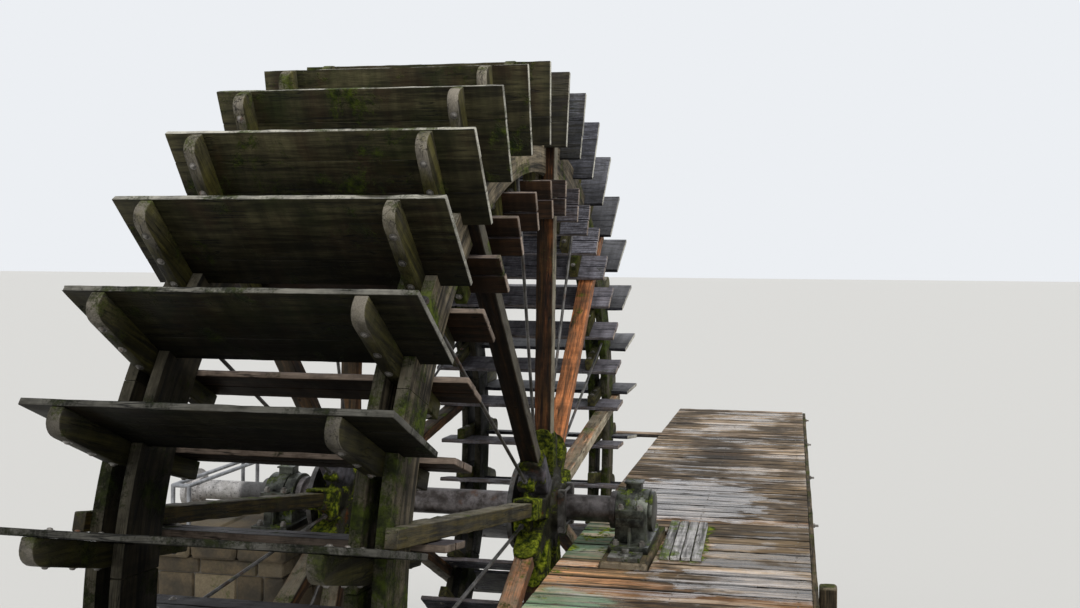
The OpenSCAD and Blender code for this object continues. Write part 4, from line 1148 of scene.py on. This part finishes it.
def make_planks(lo, hi, hole_lo, hole_hi, pitch, rng):
    """One board a row, or two beside the bearer with a strip where a row runs half past it; each board
    lies up to 6 mm low and its long edges wander. One row runs out towards the wheel."""
    x0, x1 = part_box("deck_joists")[0][0] - DECK_OVERHANG, hi[0]
    rows = []
    for i in range(DECK_ROWS):
        y0 = lo[1] + i * pitch
        y1 = y0 + pitch - DECK_GAP
        drop = rng.uniform(0, 0.006)
        tint = rng.uniform(0, 0.8) + (0.3 if i < ORANGE_ROWS else 0.0)
        own = (drop, tint, rng.uniform(0.66, 1.3))
        left = lo[0] if i == LONG_ROW else x0
        if y1 <= hole_lo[1] or y0 >= hole_hi[1]:
            rows.append((left, y0, x1 - left, y1 - y0, *own))
            continue
        rows.append((left, y0, hole_lo[0] - left, y1 - y0, *own))
        rows.append((hole_hi[0], y0, x1 - hole_hi[0], y1 - y0, *own))
        if y0 < hole_lo[1]:
            rows.append((hole_lo[0], y0, hole_hi[0] - hole_lo[0], hole_lo[1] - y0, *own))
        if y1 > hole_hi[1]:
            rows.append((hole_lo[0], hole_hi[1], hole_hi[0] - hole_lo[0], y1 - hole_hi[1], *own))
    x, y, long, broad, drop, tint, tones = np.array(rows).T
    size = columns(long, broad, hi[2] - lo[2] - drop)
    planks = timbers("deck_plank_boards", columns(x, y, lo[2]), X_WAY, Y_WAY, Z_WAY, size, rings=16, wide=2,
                     rough=0.0025, ragged=0.014, pale=(0, 1, 0, 1), pale_ends=0.8, lip=0.75, tones=tones,
                     tint=tint, seed=220)
    settle(planks, "root", "deck_timber", DECK_WOOD, "deck_planks")


def make_nails(lo, hi, hole_lo, hole_hi, pitch, rng):
    """Two nails a board over each joist, a little out of line, and none over the bearer."""
    start, _, across, through, joist = box_frames("deck_joists")
    lines = (start + 0.5 * across * joist[:, 1:2] + 0.5 * through * joist[:, 2:3])[:, 0]
    y = lo[1] + (np.arange(DECK_ROWS)[:, None] + np.array(NAIL_PLACES)).ravel() * pitch
    x = lines[:, None] + rng.uniform(-0.015, 0.015, (len(lines), len(y)))
    spots = columns(x.ravel(), np.tile(y, len(lines)), hi[2] - NAIL_DEPTH)
    in_hole = ((spots > hole_lo) & (spots < hole_hi))[:, :2].all(1)
    nails = turned("deck_nail_heads", NAIL, spots[~in_hole], Z_WAY, sides=7)
    settle(nails, "root", "grey_iron", BOLT_IRON)


def make_deck():
    """Planks with a hole for the bearer, and their nails."""
    clear = 0.005
    lo, hi = np.array(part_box("deck_planks"))
    hole_lo, hole_hi = np.array(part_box("river_bearer")) + [[-clear], [clear]]
    pitch = (hi[1] - lo[1] + DECK_GAP) / DECK_ROWS
    rng = np.random.default_rng(SEED + 9)
    for make in (make_planks, make_nails):
        make(lo, hi, hole_lo, hole_hi, pitch, rng)


make_deck()


def make_edge_bolts():
    """A long bolt with a washer and nut through the edge beam at each of the six pile frames."""
    first, apart, count = -2.64, 2, 6
    sunk, above_edge = 0.004, 0.12
    lo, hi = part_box("edge_beam")
    spots = columns(hi[0] - sunk, first + apart * np.arange(count), lo[2] + above_edge)
    profile = [(0, 0), (0.034, 0), (0.034, 0.006), (0.021, 0.007), (0.021, 0.024), (0.012, 0.025),
               (0.012, 0.055), (0, 0.057)]
    piece = turned("edge_beam_bolts", profile, spots, X_WAY, sides=6, smooth=20)
    settle(piece, "root", "grey_iron", BOLT_IRON)


make_edge_bolts()


# Studio: a pale floor at the foot of the piles, an even sky and one wide soft lamp from above right

def make_floor():
    """One wide square, a hair under the foot of the piles."""
    reach, below = 400, 0.001
    grid = np.array([[-reach, -reach, 0], [reach, -reach, 0], [reach, reach, 0], [-reach, reach, 0]], float)
    floor = shell("studio_floor", grid - [0, 0, below], [np.array([[0, 1, 2, 3]])], {})
    f = Finish("studio_floor_paint")
    speck = f.noise(f.place(), 30, 2)
    paint = f.mix(f.step(speck, 0.3, 0.7, 0.0, 0.15), (208, 208, 206), (200, 200, 198))
    floor.data.materials.append(f.close(paint, 0.9, speck, 0.0002))


def make_sky():
    """One even tone to look at, and a greyer one that lights the object."""
    world = bpy.data.worlds.new("studio_sky")
    bpy.context.scene.world = world
    sky = Tree(world)
    rays = sky.tree.nodes.new("ShaderNodeLightPath").outputs
    seen = sky.add("ShaderNodeBackground", {0: colour((236, 239, 243)), 1: 1.0})
    light = sky.add("ShaderNodeBackground", {0: colour((248, 248, 248)), 1: 0.5})
    either = sky.larger(rays["Is Camera Ray"], rays["Is Glossy Ray"])
    pick = sky.add("ShaderNodeMixShader", {0: either, 1: light, 2: seen})
    sky.wire(sky.tree.nodes["World Output"].inputs[0], pick)


def make_lamp():
    """A wide soft lamp, shining down and away from the viewer, and to the left."""
    lamp = bpy.data.lights.new("soft_lamp", "SUN")
    lamp.energy = 2.4
    lamp.angle = math.radians(40)
    lamp.color = (1.0, 0.985, 0.96)
    shining = Vector((-0.45, 0.42, -0.9))
    add_object("soft_lamp", lamp).rotation_euler = shining.to_track_quat("-Z", "Y").to_euler()


def make_camera():
    """The photograph's view: a yaw to the left, a very slight look upwards, a slight roll, and a shift
    each way."""
    place = (4.8223, -7.53, 5.7508)
    yaw, down, roll = (math.radians(v) for v in (9.011, -0.287, 0.456))
    ahead = Vector((-math.sin(yaw) * math.cos(down), math.cos(yaw) * math.cos(down), -math.sin(down)))
    right = Vector((math.cos(yaw), math.sin(yaw), 0))
    up = right.cross(ahead)
    turned_right = right * math.cos(roll) + up * math.sin(roll)
    turned_up = up * math.cos(roll) - right * math.sin(roll)
    data = bpy.data.cameras.new("photo_view")
    data.lens = 31.2448
    data.sensor_width = 36
    data.shift_x = -0.09795
    data.shift_y = -0.04096
    data.clip_end = 1500
    camera = add_object("photo_view", data)
    turn = Matrix((turned_right, turned_up, -ahead)).transposed().to_4x4()
    camera.matrix_world = Matrix.Translation(place) @ turn
    bpy.context.scene.camera = camera


make_floor()
make_sky()
make_lamp()
make_camera()
bpy.context.scene.view_settings.view_transform = "Standard"
